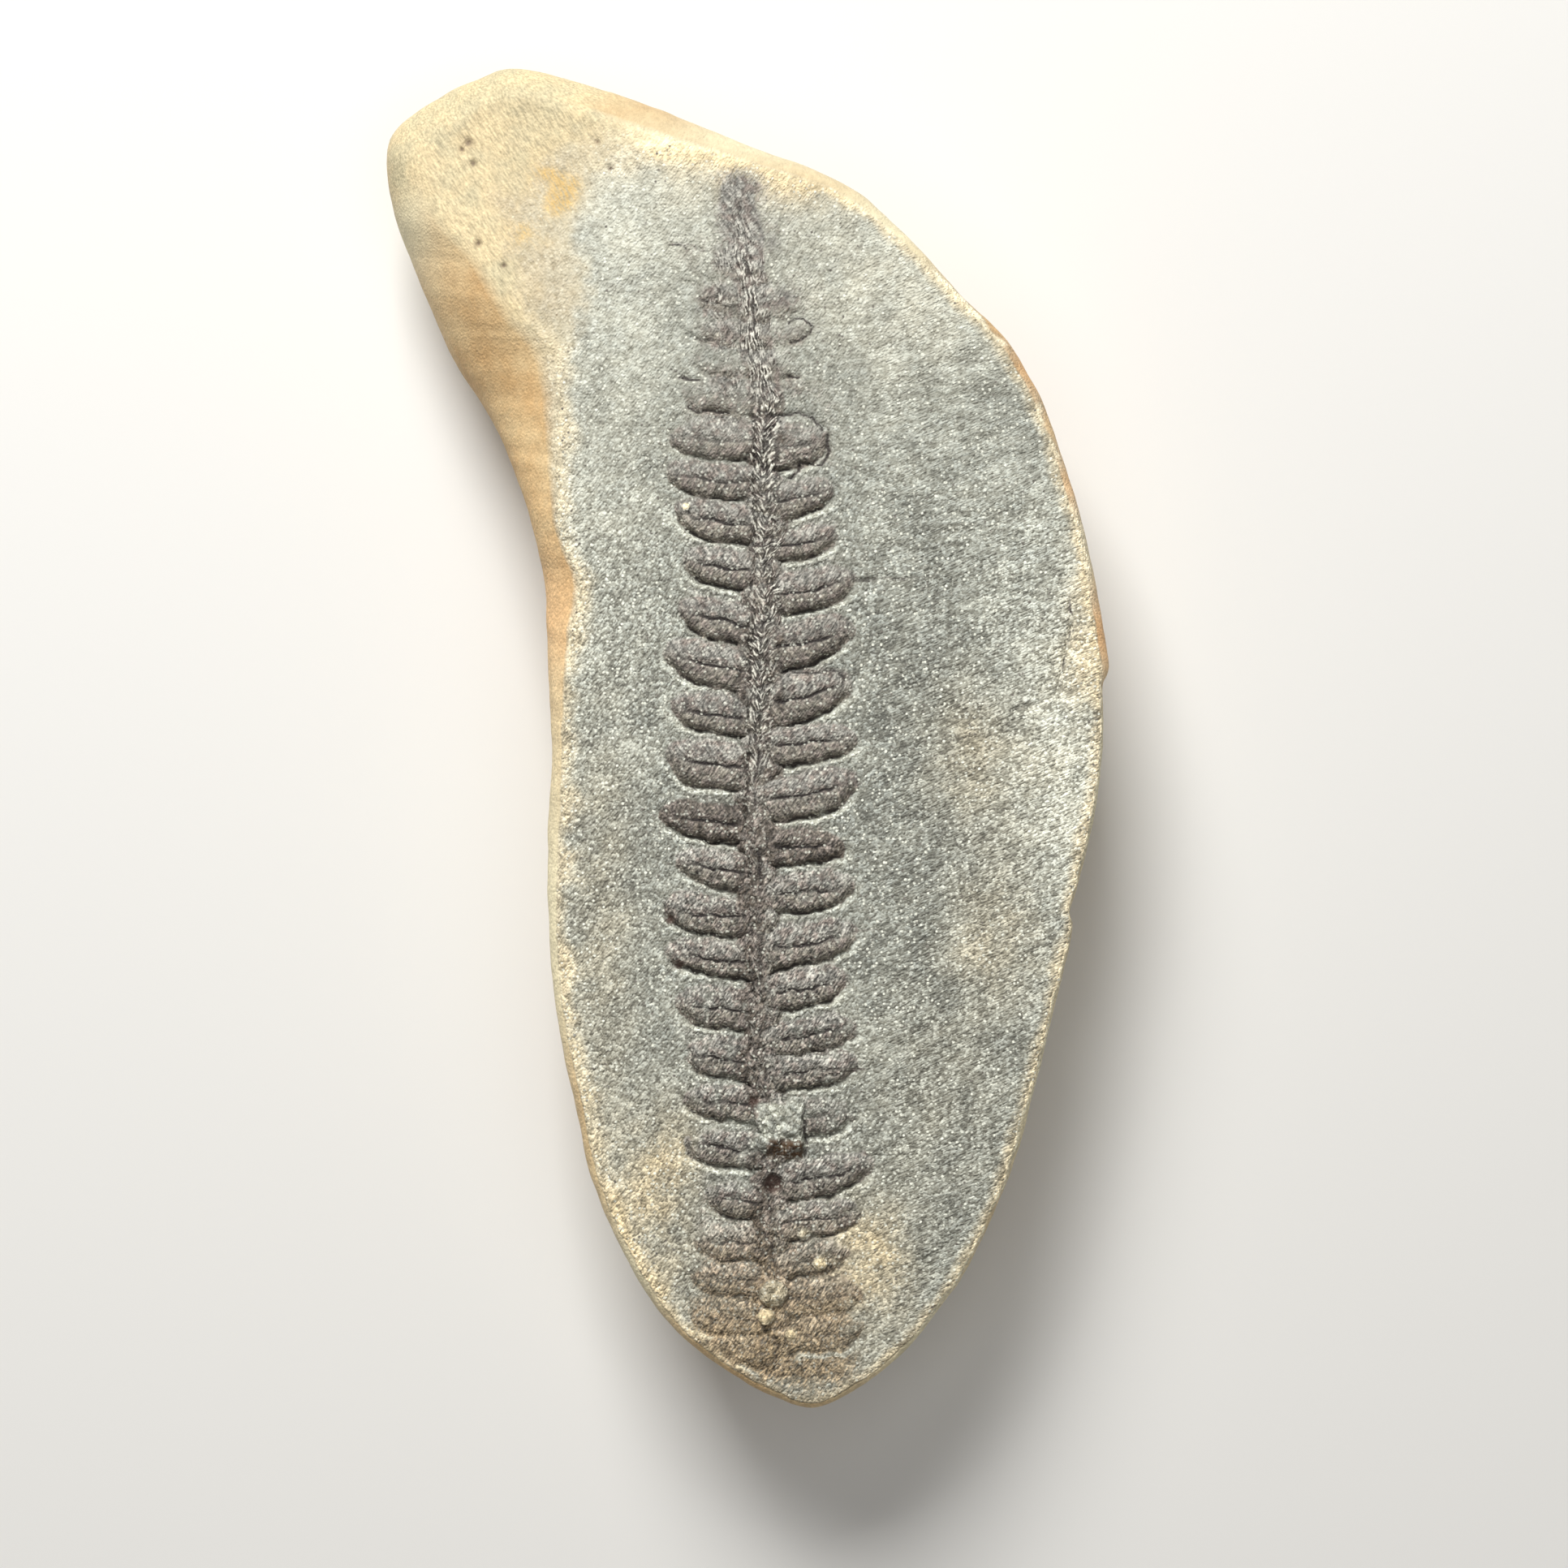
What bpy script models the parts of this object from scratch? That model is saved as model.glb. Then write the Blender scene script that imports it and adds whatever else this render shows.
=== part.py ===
"""Half of a split ironstone nodule with a fern frond pressed in its face.

The nodule lies on its rounded back, the split face up, the frond's tip towards +Y.
Sizes below are millimetres, measured from the middle of the nodule's outline as seen
from above; the mesh is built in metres with its origin under the middle of its box.
"""

import math

import bmesh
import bpy
import numpy as np
from mathutils import Vector
from mathutils.geometry import delaunay_2d_cdt

MM = 0.001

# ---- driving sizes ----
THICKNESS = 16.5  # from the flat of the back to the highest part of the split face
BASE_SHARE = 0.3  # how far the flat on the back spreads from the middle line
RIM_STEPS = 150  # points round the outline
SHOULDER_RINGS = 4  # from the split face out to the widest outline
BACK_RINGS = 7  # from the widest outline down to the flat
SHOULDER_SLOPE = 1.05  # how far the skin falls for each millimetre that it stands out
SHOULDER_START = 0.6  # how far it falls where it stands out nowhere
SHOULDER_MOST = 8.0
EDGE_BREAK = (math.radians(12), math.radians(50))  # slope of the skin as it leaves
EDGE_BREAK_AT = 5.0  # the split face: the second where the skin stands out this far
BACK_SWELL = 0.35  # height of the low swellings of the rounded back

# The rim, clockwise from the lobe at the top left. Each row holds a point of the widest
# outline (x, y) and the point of the split face's edge beside it (x, y).
RIM = [
    (-21.1, 50.9, -19.9, 48.2),
    (-18.3, 51.6, -17.4, 48.6),
    (-13.1, 50.4, -12.3, 47.2),
    (-6.2, 47.6, -6.7, 45.2),
    (0.0, 44.9, -0.6, 43.3),
    (6.3, 42.4, 5.7, 41.3),
    (10.0, 39.9, 9.5, 39.0),
    (15.9, 33.7, 15.4, 33.2),
    (19.5, 30.1, 18.9, 29.5),
    (21.8, 26.4, 21.1, 25.9),
    (23.7, 21.5, 23.0, 21.2),
    (25.2, 16.6, 24.4, 16.3),
    (26.3, 11.7, 25.5, 11.4),
    (27.3, 6.4, 26.4, 6.3),
    (27.3, 4.9, 26.5, 4.9),  # chipped corner
    (26.8, 3.6, 26.4, 3.6),
    (26.8, -0.7, 26.4, -0.7),
    (26.2, -5.6, 25.8, -5.6),
    (25.1, -10.5, 24.7, -10.4),
    (24.3, -13.2, 24.1, -13.2),  # small notch
    (24.5, -14.3, 24.2, -14.3),
    (23.8, -17.8, 23.4, -17.7),
    (22.4, -23.4, 21.9, -23.2),
    (20.9, -29.5, 20.3, -29.3),
    (19.0, -35.0, 18.5, -34.7),
    (15.5, -41.8, 15.1, -41.4),
    (10.9, -47.2, 10.7, -46.7),
    (5.7, -50.5, 5.5, -50.0),
    (2.0, -49.9, 2.2, -49.2),
    (-2.6, -47.3, -2.3, -46.7),
    (-6.6, -43.6, -6.1, -43.1),
    (-9.6, -38.7, -9.1, -38.2),
    (-11.9, -33.2, -11.3, -32.9),
    (-13.4, -26.4, -12.7, -26.2),
    (-14.6, -20.3, -13.9, -20.2),
    (-15.1, -13.6, -14.3, -13.5),
    (-15.2, -8.0, -14.1, -8.0),
    (-14.9, -2.5, -13.9, -2.5),
    (-15.1, 3.1, -13.7, 3.0),
    (-15.4, 8.0, -13.3, 7.6),
    (-15.6, 12.1, -12.6, 11.4),  # step in the broken edge
    (-16.4, 15.8, -14.0, 15.0),
    (-17.8, 19.9, -14.3, 18.9),
    (-20.0, 24.7, -14.2, 23.9),
    (-22.6, 28.8, -14.5, 28.7),
    (-24.8, 33.4, -17.2, 31.5),
    (-26.5, 37.5, -19.8, 35.6),
    (-27.6, 40.8, -23.3, 39.4),
    (-28.1, 44.7, -24.9, 43.7),
    (-27.4, 47.4, -24.0, 45.8),
    (-24.0, 49.7, -22.1, 47.1),
]

# The line down the middle of the banana shape, which the back rounds in towards.
SPINE = [(-11, 34), (-2, 26), (3, 15), (5, 0), (5, -12), (4.5, -24)]

# How far the split face falls away from its highest line.
CROWN_FALL = 0.7  # at CROWN_REACH to either side
CROWN_REACH = 24.0
CROWN_X = 3.0
LONG_FALL = 0.35  # at LONG_REACH towards either end
LONG_REACH = 50.0
LOBE_FALL = 3.0  # at the lobe
LOBE_CENTRE = (-25.0, 47.0)
LOBE_REACH = 20.0

# ---- the frond ----
# The rachis, top to bottom: (y, x).
RACHIS = [
    (42.6, -1.0),
    (31.0, 0.5),
    (24.9, 1.4),
    (12.7, 1.2),
    (-5.6, 0.6),
    (-17.8, 1.0),
    (-23.9, 0.9),
    (-30.0, 2.0),
    (-36.1, 1.6),
    (-49.0, 2.2),
]
RACHIS_RIB = 0.5  # from the middle of the rachis to the groove beside it
RACHIS_REACH = 1.15  # to where the pinnules take over
RACHIS_RIB_HEIGHT = 0.02
RACHIS_GROOVE = 0.3

# One row for each pinnule: (y of its middle at the rachis, reach of its tip from the
# rachis, how far the tip turns up, width).
LEFT_PINNULES = [
    (35.0, 5.0, 1.2, 2.1),
    (32.8, 4.5, 0.9, 2.2),
    (30.3, 5.4, 0.5, 2.1),
    (28.0, 5.6, 0.6, 2.3),
    (25.4, 6.5, 0.5, 2.4),
    (22.2, 7.4, 0.4, 2.8),
    (19.0, 7.6, 1.0, 2.7),
    (15.8, 6.8, 1.3, 3.0),
    (12.3, 6.1, 1.0, 3.0),
    (8.2, 6.3, 1.4, 3.0),
    (4.7, 7.3, 1.8, 3.4),
    (1.3, 6.7, 1.0, 3.0),
    (-2.6, 7.0, 1.3, 3.5),
    (-6.9, 7.3, 1.2, 2.8),
    (-10.3, 6.3, 0.9, 2.8),
    (-13.8, 7.3, 0.9, 3.0),
    (-17.0, 7.3, 0.8, 2.6),
    (-20.7, 6.4, 0.8, 3.2),
    (-24.6, 5.8, 0.9, 3.2),
    (-27.9, 6.3, 0.6, 2.7),
    (-31.2, 6.8, 0.5, 2.9),
    (-35.1, 4.9, 0.6, 2.9),
    (-38.2, 5.8, 0.4, 2.8),
    (-41.1, 6.3, 0.4, 2.4),
    (-44.0, 6.3, 0.5, 2.6),
    (-46.4, 4.3, 0.6, 2.2),
]
RIGHT_PINNULES = [
    (32.3, 3.8, 0.5, 2.2),
    (30.1, 4.3, 0.7, 2.0),
    (27.9, 3.1, 0.4, 2.1),
    (21.8, 4.8, 0.7, 3.4),
    (17.5, 5.4, 1.2, 3.0),
    (14.2, 5.5, 0.9, 2.4),
    (10.6, 7.0, 1.2, 3.2),
    (6.6, 7.1, 1.5, 3.4),
    (2.4, 6.7, 1.5, 3.4),
    (-0.8, 7.4, 0.6, 2.8),
    (-4.9, 7.8, 1.5, 3.4),
    (-8.3, 6.7, 0.1, 2.7),
    (-12.0, 7.2, 0.8, 3.0),
    (-16.0, 7.3, 1.3, 3.3),
    (-19.3, 6.8, 1.0, 2.9),
    (-22.8, 7.3, 0.9, 2.8),
    (-25.6, 7.0, 1.0, 2.6),
    (-28.9, 6.4, 0.6, 2.7),
    (-33.7, 7.6, 1.7, 3.0),
    (-36.8, 7.0, 1.1, 2.8),
    (-39.8, 5.8, 1.0, 2.3),
    (-42.5, 6.9, 0.7, 2.7),
    (-45.3, 6.8, 0.9, 2.5),
]
TIP_LENGTH = 1.25  # length of a pinnule's round tip, as a share of its half width
TURN_UP = 1.4  # power of the curve by which a pinnule turns up

# A section across a pinnule, from its midvein (0) to its edge (1): two low pillows.
VEIN_DEPTH = 0.02
PILLOW_HEIGHT = 0.15
PILLOW_AT = 0.5
CREASE_DEPTH = 0.12
CREASE_DEPTH_BELOW = 0.34  # added on a pinnule's lower edge
FALL_POWER = 1.5  # how late a pillow falls away to the edge
CREASE_REACH = 0.34  # from a pinnule's edge out to the level stone
FADE_FROM = (25.0, -36.0)  # beyond these heights the frond grows faint
FADE_OVER = 9.0
FAINTEST = 0.3

# Knobs and pits on the lower rachis and beside it: (x, y, radius, height).
KNOBS = [
    (2.2, -29.5, 1.7, 0.7),
    (2.4, -31.2, 1.0, -0.5),
    (1.4, -32.1, 0.9, 0.45),
    (2.0, -33.5, 0.7, -0.45),
    (4.2, -37.3, 0.6, 0.3),
    (1.9, -41.7, 1.0, 0.6),
    (1.3, -43.3, 0.6, 0.35),
    (5.4, -5.5, 0.6, 0.3),
]
KNOB_SHARPNESS = 1.4  # how soon a knob falls away, more being sooner

# ---- how finely the face is faceted ----
EDGE_STEP = 1.1  # along a pinnule's edge
VEIN_START = 0.95  # where a pinnule's facets begin, from the middle of the rachis
KNOB_CORNERS = 7
STONE_STEP = 2.8  # between points of the plain stone
FROND_GAP = 0.36  # least distance from a point of the frond to an earlier point
STONE_GAP = 1.2
RIM_GAP = 1.0


def smooth_loop(rows, steps):
    """Points at equal steps along a closed smooth curve through the rows' first two
    numbers, with the rows' other numbers carried along."""
    rows = np.array(rows, float)
    count = len(rows)
    fine = []
    for i in range(count):
        a, b, c, d = (rows[(i + k) % count] for k in (-1, 0, 1, 2))
        for t in np.linspace(0, 1, 24, endpoint=False):
            fine.append(
                0.5
                * (
                    2 * b
                    + (c - a) * t
                    + (2 * a - 5 * b + 4 * c - d) * t**2
                    + (3 * b - a - 3 * c + d) * t**3
                )
            )
    fine = np.array(fine)
    ahead = np.roll(fine, -1, axis=0)
    run = np.concatenate([[0], np.cumsum(np.hypot(*(ahead - fine)[:, :2].T))])
    wanted = np.linspace(0, run[-1], steps, endpoint=False)
    closed = np.vstack([fine, fine[:1]])
    return np.column_stack([np.interp(wanted, run, column) for column in closed.T])


def rachis_x(y):
    stations, offsets = np.array(RACHIS[::-1]).T
    return np.interp(y, stations, offsets)


def smoothstep(t):
    t = np.clip(t, 0, 1)
    return t * t * (3 - 2 * t)


def level(x, y):
    """Height of the split face with no frond on it, 0 at its highest."""
    crown = CROWN_FALL * ((x - CROWN_X) / CROWN_REACH) ** 2
    ends = LONG_FALL * (y / LONG_REACH) ** 2
    away = np.hypot(x - LOBE_CENTRE[0], y - LOBE_CENTRE[1])
    return -crown - ends - LOBE_FALL * smoothstep((LOBE_REACH - away) / LOBE_REACH)


def strength(y):
    """How clearly the frond is pressed at this height: 1 along most of its length."""
    top = smoothstep((FADE_FROM[0] + FADE_OVER - y) / FADE_OVER)
    bottom = smoothstep((y - FADE_FROM[1] + FADE_OVER) / FADE_OVER)
    return FAINTEST + (1 - FAINTEST) * top * bottom


def pinnules():
    """Each pinnule as (side, base x, base y, reach, rise, half width)."""
    for side, rows in ((-1, LEFT_PINNULES), (1, RIGHT_PINNULES)):
        for y, reach, rise, width in rows:
            yield side, float(rachis_x(y)), y, reach, rise, width / 2


def pinnule_section(x, y, pinnule):
    """Where a point lies in a pinnule's section: 0 on the midvein, 1 on the edge, more
    than 1 outside, and which side of the midvein it is on (-1 below, 1 above)."""
    side, base_x, base_y, reach, rise, half = pinnule
    along = side * (x - base_x)
    middle = base_y + rise * np.clip(along / reach, 0, 1) ** TURN_UP
    across = (y - middle) / half
    tip = half * TIP_LENGTH
    past = np.maximum(along - (reach - tip), 0) / tip
    behind = np.maximum(-along, 0) / half
    return np.hypot(np.hypot(across, past), behind), np.sign(across)


def section_height(at, side, half):
    """Height of a pinnule's section."""
    crease = CREASE_DEPTH + CREASE_DEPTH_BELOW * (side < 0)
    inner = -VEIN_DEPTH + (VEIN_DEPTH + PILLOW_HEIGHT) * smoothstep(at / PILLOW_AT)
    fall = smoothstep((at - PILLOW_AT) / (1 - PILLOW_AT)) ** FALL_POWER
    outer = PILLOW_HEIGHT - (PILLOW_HEIGHT + crease) * fall
    beyond = -crease * (1 - smoothstep((at - 1) * half / CREASE_REACH))
    return np.where(at < PILLOW_AT, inner, np.where(at < 1, outer, beyond))


def height(x, y):
    """Height of the split face at any point, 0 at the crown of the plain stone."""
    x, y = np.asarray(x, float), np.asarray(y, float)
    relief = np.zeros_like(x)
    nearest = np.full_like(x, np.inf)
    for pinnule in pinnules():
        at, side = pinnule_section(x, y, pinnule)
        relief = np.where(at < nearest, section_height(at, side, pinnule[5]), relief)
        nearest = np.minimum(nearest, at)
    off = np.abs(x - rachis_x(y))
    on_frond = (y < RACHIS[0][0]) & (y > RACHIS[-1][0])
    rib = RACHIS_RIB_HEIGHT + RACHIS_GROOVE
    channel = rib * (1 - smoothstep(off / RACHIS_RIB)) - RACHIS_GROOVE
    weight = 1 - smoothstep((off - RACHIS_RIB) / (RACHIS_REACH - RACHIS_RIB))
    relief = relief + (channel - relief) * weight * on_frond
    found = level(x, y) + relief * strength(y)
    for knob_x, knob_y, radius, rise in KNOBS:
        away = np.hypot(x - knob_x, y - knob_y) / radius
        found = found + rise * np.exp(-KNOB_SHARPNESS * away**2)
    return found


def inside(points, loop):
    """Which points lie inside a closed outline."""
    x, y = points.T
    found = np.zeros(len(points), bool)
    for (ax, ay), (bx, by) in zip(loop, np.roll(loop, -1, axis=0)):
        crosses = (ay > y) != (by > y)
        with np.errstate(divide="ignore", invalid="ignore"):
            found ^= crosses & (x < ax + (y - ay) * (bx - ax) / (by - ay))
    return found


def contour(pinnule, at):
    """Points along a pinnule where its section has one value, from the rachis along the
    lower side, round the tip and back along the upper side. On the midvein, where the
    value is 0, they run from the rachis to the tip."""
    side, base_x, base_y, reach, rise, half = pinnule
    tip = half * TIP_LENGTH
    straight = reach - tip
    runs = max(2, round((straight - VEIN_START) / EDGE_STEP))
    path = [(a, -at) for a in np.linspace(VEIN_START, straight, runs + 1)]
    if at > 0:
        turns = max(3, round(math.pi * half * at / EDGE_STEP))
        for turn in np.linspace(-math.pi / 2, math.pi / 2, turns + 1)[1:-1]:
            path.append((straight + tip * at * math.cos(turn), at * math.sin(turn)))
        path += [(a, at) for a in np.linspace(straight, VEIN_START, runs + 1)]
    points = []
    for along, across in path:
        middle = base_y + rise * min(max(along / reach, 0), 1) ** TURN_UP
        points.append((base_x + side * along, middle + across * half))
    return np.array(points)


def outside_others(chain, pinnule, at):
    """Which points of a pinnule's contour aren't inside a neighbouring pinnule."""
    free = np.ones(len(chain), bool)
    for other in pinnules():
        if other != pinnule:
            free &= pinnule_section(*chain.T, other)[0] > max(at, 1) + 0.05
    return free


def frond_chains():
    """Runs of points that the pressed frond is faceted along: the pinnules' edges,
    midveins and pillows, the rachis, the knobs, and the level stone beside them all."""
    shapes = list(pinnules())
    for at in (1.0, 0.0, PILLOW_AT):
        for pinnule in shapes:
            chain = contour(pinnule, at)
            yield chain, outside_others(chain, pinnule, at)
    stations = np.arange(RACHIS[-1][0], RACHIS[0][0], EDGE_STEP * 1.5)
    for off in (-RACHIS_RIB, 0, RACHIS_RIB):
        chain = np.column_stack([rachis_x(stations) + off, stations])
        yield chain, np.ones(len(chain), bool)
    turns = np.linspace(0, 2 * math.pi, KNOB_CORNERS, endpoint=False)
    for x, y, radius, _ in KNOBS:
        ring = np.column_stack([np.cos(turns), np.sin(turns)]) * radius + (x, y)
        yield np.vstack([ring, [(x, y)]]), np.ones(KNOB_CORNERS + 1, bool)
    for pinnule in shapes:
        level_at = 1 + CREASE_REACH / pinnule[5]
        chain = contour(pinnule, level_at)
        yield chain, outside_others(chain, pinnule, level_at - 0.1)


def stone_lattice(edge):
    """Points on a triangular lattice over the whole split face."""
    low, high = edge.min(axis=0), edge.max(axis=0)
    rows = np.arange(low[1], high[1], STONE_STEP * math.sqrt(3) / 2)
    for row, y in enumerate(rows):
        for x in np.arange(low[0] + STONE_STEP / 2 * (row % 2), high[0], STONE_STEP):
            yield x, y


def face_layout(edge):
    """The points of the split face, its edge first, and the pairs of them that must be
    joined by a facet's side. A point too close to an earlier one is left out."""
    kept = [tuple(point) for point in edge]
    lines = []

    def clear(point, gap):
        away = np.linalg.norm(np.array(kept) - point, axis=1)
        on_face = inside(np.array([point]), edge)[0]
        return on_face and away[:RIM_STEPS].min() > RIM_GAP and away.min() > gap

    for chain, wanted in frond_chains():
        last = None
        for point, use in zip(chain, wanted):
            if use and clear(point, FROND_GAP):
                kept.append(tuple(point))
                if last is not None:
                    lines.append((last, len(kept) - 1))
                last = len(kept) - 1
            else:
                last = None
    for point in stone_lattice(edge):
        if clear(point, STONE_GAP):
            kept.append(point)
    return kept, lines


def nearest_on_spine(points):
    """The nearest point of the middle line to each point."""
    best = np.full(len(points), np.inf)
    found = np.zeros_like(points)
    for a, b in zip(np.array(SPINE, float)[:-1], np.array(SPINE, float)[1:]):
        t = np.clip((points - a) @ (b - a) / ((b - a) @ (b - a)), 0, 1)
        on = a + t[:, None] * (b - a)
        away = np.linalg.norm(points - on, axis=1)
        found[away < best] = on[away < best]
        best = np.minimum(best, away)
    return found


def swell(points, depth):
    """Low swellings of the back, so that it isn't a turned shape."""
    x, y = points.T
    waves = np.sin(0.21 * x + 0.13 * y + 0.6) + 0.7 * np.sin(0.17 * y - 0.26 * x + 2.1)
    return BACK_SWELL * waves * math.sin(math.pi * depth)


def build_nodule():
    rim = smooth_loop(RIM, RIM_STEPS)
    outline, edge = rim[:, :2], rim[:, 2:]
    edge_z = height(*edge.T)
    stands_out = np.linalg.norm(outline - edge, axis=1)
    fall = np.minimum(SHOULDER_START + SHOULDER_SLOPE * stands_out, SHOULDER_MOST)

    # the split face
    points, lines = face_layout(edge)
    ring = list(range(RIM_STEPS))
    vectors = [Vector(point) for point in points]
    flat, _, faces, origins, _, _ = delaunay_2d_cdt(vectors, lines, [ring], 1, 1e-5)
    flat = np.array(flat)
    mesh = bmesh.new()
    heights = height(*flat.T)
    top = [mesh.verts.new((*place, z)) for place, z in zip(flat, heights)]
    on_edge = [None] * RIM_STEPS
    for vertex, sources in zip(top, origins):
        for source in sources:
            if source < RIM_STEPS:
                on_edge[source] = vertex
    for face in faces:
        (ax, ay), (bx, by), (cx, cy) = flat[face]
        turn = (bx - ax) * (cy - ay) - (by - ay) * (cx - ax)
        mesh.faces.new([top[i] for i in (face if turn > 0 else face[::-1])])

    # the skin, from the face's edge out to the widest outline and in again to the flat
    rings = [on_edge]
    soft, sharp = EDGE_BREAK
    start = soft + (sharp - soft) * smoothstep(stands_out / EDGE_BREAK_AT)
    for k in range(1, SHOULDER_RINGS + 1):
        angle = start + (math.pi / 2 - start) * k / SHOULDER_RINGS
        out = (np.sin(angle) - np.sin(start)) / (1 - np.sin(start))
        down = 1 - np.cos(angle) / np.cos(start)
        at = edge + (outline - edge) * out[:, None]
        z = edge_z - fall * down
        rings.append([mesh.verts.new((*p, h)) for p, h in zip(at, z)])
    widest_z = edge_z - fall
    base = nearest_on_spine(outline)
    base = base + BASE_SHARE * (outline - base)
    floor = -THICKNESS
    for k in range(1, BACK_RINGS + 1):
        angle = math.pi / 2 * k / BACK_RINGS
        at = outline + (base - outline) * (1 - math.cos(angle))
        z = widest_z + (floor - widest_z) * math.sin(angle)
        z = np.maximum(z + swell(at, k / BACK_RINGS), floor)
        if k == BACK_RINGS:
            z = np.full(RIM_STEPS, floor)
        rings.append([mesh.verts.new((*p, h)) for p, h in zip(at, z)])
    for upper, lower in zip(rings, rings[1:]):
        for i in range(RIM_STEPS):
            j = (i + 1) % RIM_STEPS
            mesh.faces.new((upper[i], upper[j], lower[j], lower[i]))
    mesh.faces.new(rings[-1])
    return mesh


def to_frame(mesh):
    """Moves the origin under the middle of the box and turns millimetres to metres."""
    places = np.array([vertex.co for vertex in mesh.verts])
    low, high = places.min(axis=0), places.max(axis=0)
    middle = Vector(((low[0] + high[0]) / 2, (low[1] + high[1]) / 2, low[2]))
    for vertex in mesh.verts:
        vertex.co = (vertex.co - middle) * MM


def ironstone():
    material = bpy.data.materials.new("grey ironstone")
    material.use_nodes = True
    shader = material.node_tree.nodes["Principled BSDF"]
    shader.inputs["Base Color"].default_value = (0.33, 0.33, 0.29, 1)
    shader.inputs["Roughness"].default_value = 0.7
    shader.inputs["Metallic"].default_value = 0.0
    return material


for thing in list(bpy.data.objects):
    bpy.data.objects.remove(thing)

solid = build_nodule()
to_frame(solid)
shape = bpy.data.meshes.new("nodule")
solid.to_mesh(shape)
solid.free()
shape.shade_smooth()
shape.set_sharp_from_angle(angle=math.radians(28))
shape.materials.append(ironstone())
nodule = bpy.data.objects.new("nodule", shape)
bpy.context.scene.collection.objects.link(nodule)
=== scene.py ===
import math
from functools import partial

import bpy
import numpy as np
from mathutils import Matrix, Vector, kdtree, noise
from mathutils.geometry import delaunay_2d_cdt


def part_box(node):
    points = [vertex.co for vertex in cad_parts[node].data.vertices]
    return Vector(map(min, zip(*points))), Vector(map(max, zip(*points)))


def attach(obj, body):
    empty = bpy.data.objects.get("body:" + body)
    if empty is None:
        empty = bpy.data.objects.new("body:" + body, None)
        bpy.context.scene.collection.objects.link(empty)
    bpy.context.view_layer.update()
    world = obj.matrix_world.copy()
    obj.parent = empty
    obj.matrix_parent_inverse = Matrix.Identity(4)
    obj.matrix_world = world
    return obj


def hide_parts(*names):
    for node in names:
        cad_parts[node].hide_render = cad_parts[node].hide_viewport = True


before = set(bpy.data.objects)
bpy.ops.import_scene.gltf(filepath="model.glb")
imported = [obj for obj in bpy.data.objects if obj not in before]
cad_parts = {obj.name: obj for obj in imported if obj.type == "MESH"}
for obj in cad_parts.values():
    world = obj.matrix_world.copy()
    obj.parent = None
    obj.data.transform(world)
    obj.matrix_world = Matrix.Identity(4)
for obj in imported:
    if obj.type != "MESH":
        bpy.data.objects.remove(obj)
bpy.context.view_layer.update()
mm = 0.001

# Half of a split ironstone nodule with a fern frond in its face, lying on its rounded back.
# Sizes are millimetres from the middle of the outline; z is 0 at the crown of the split face.
# A pair that says where something starts is a place and a stretch: nothing of it there, and
# all of it a stretch further on. A negative stretch looks the other way.

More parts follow.
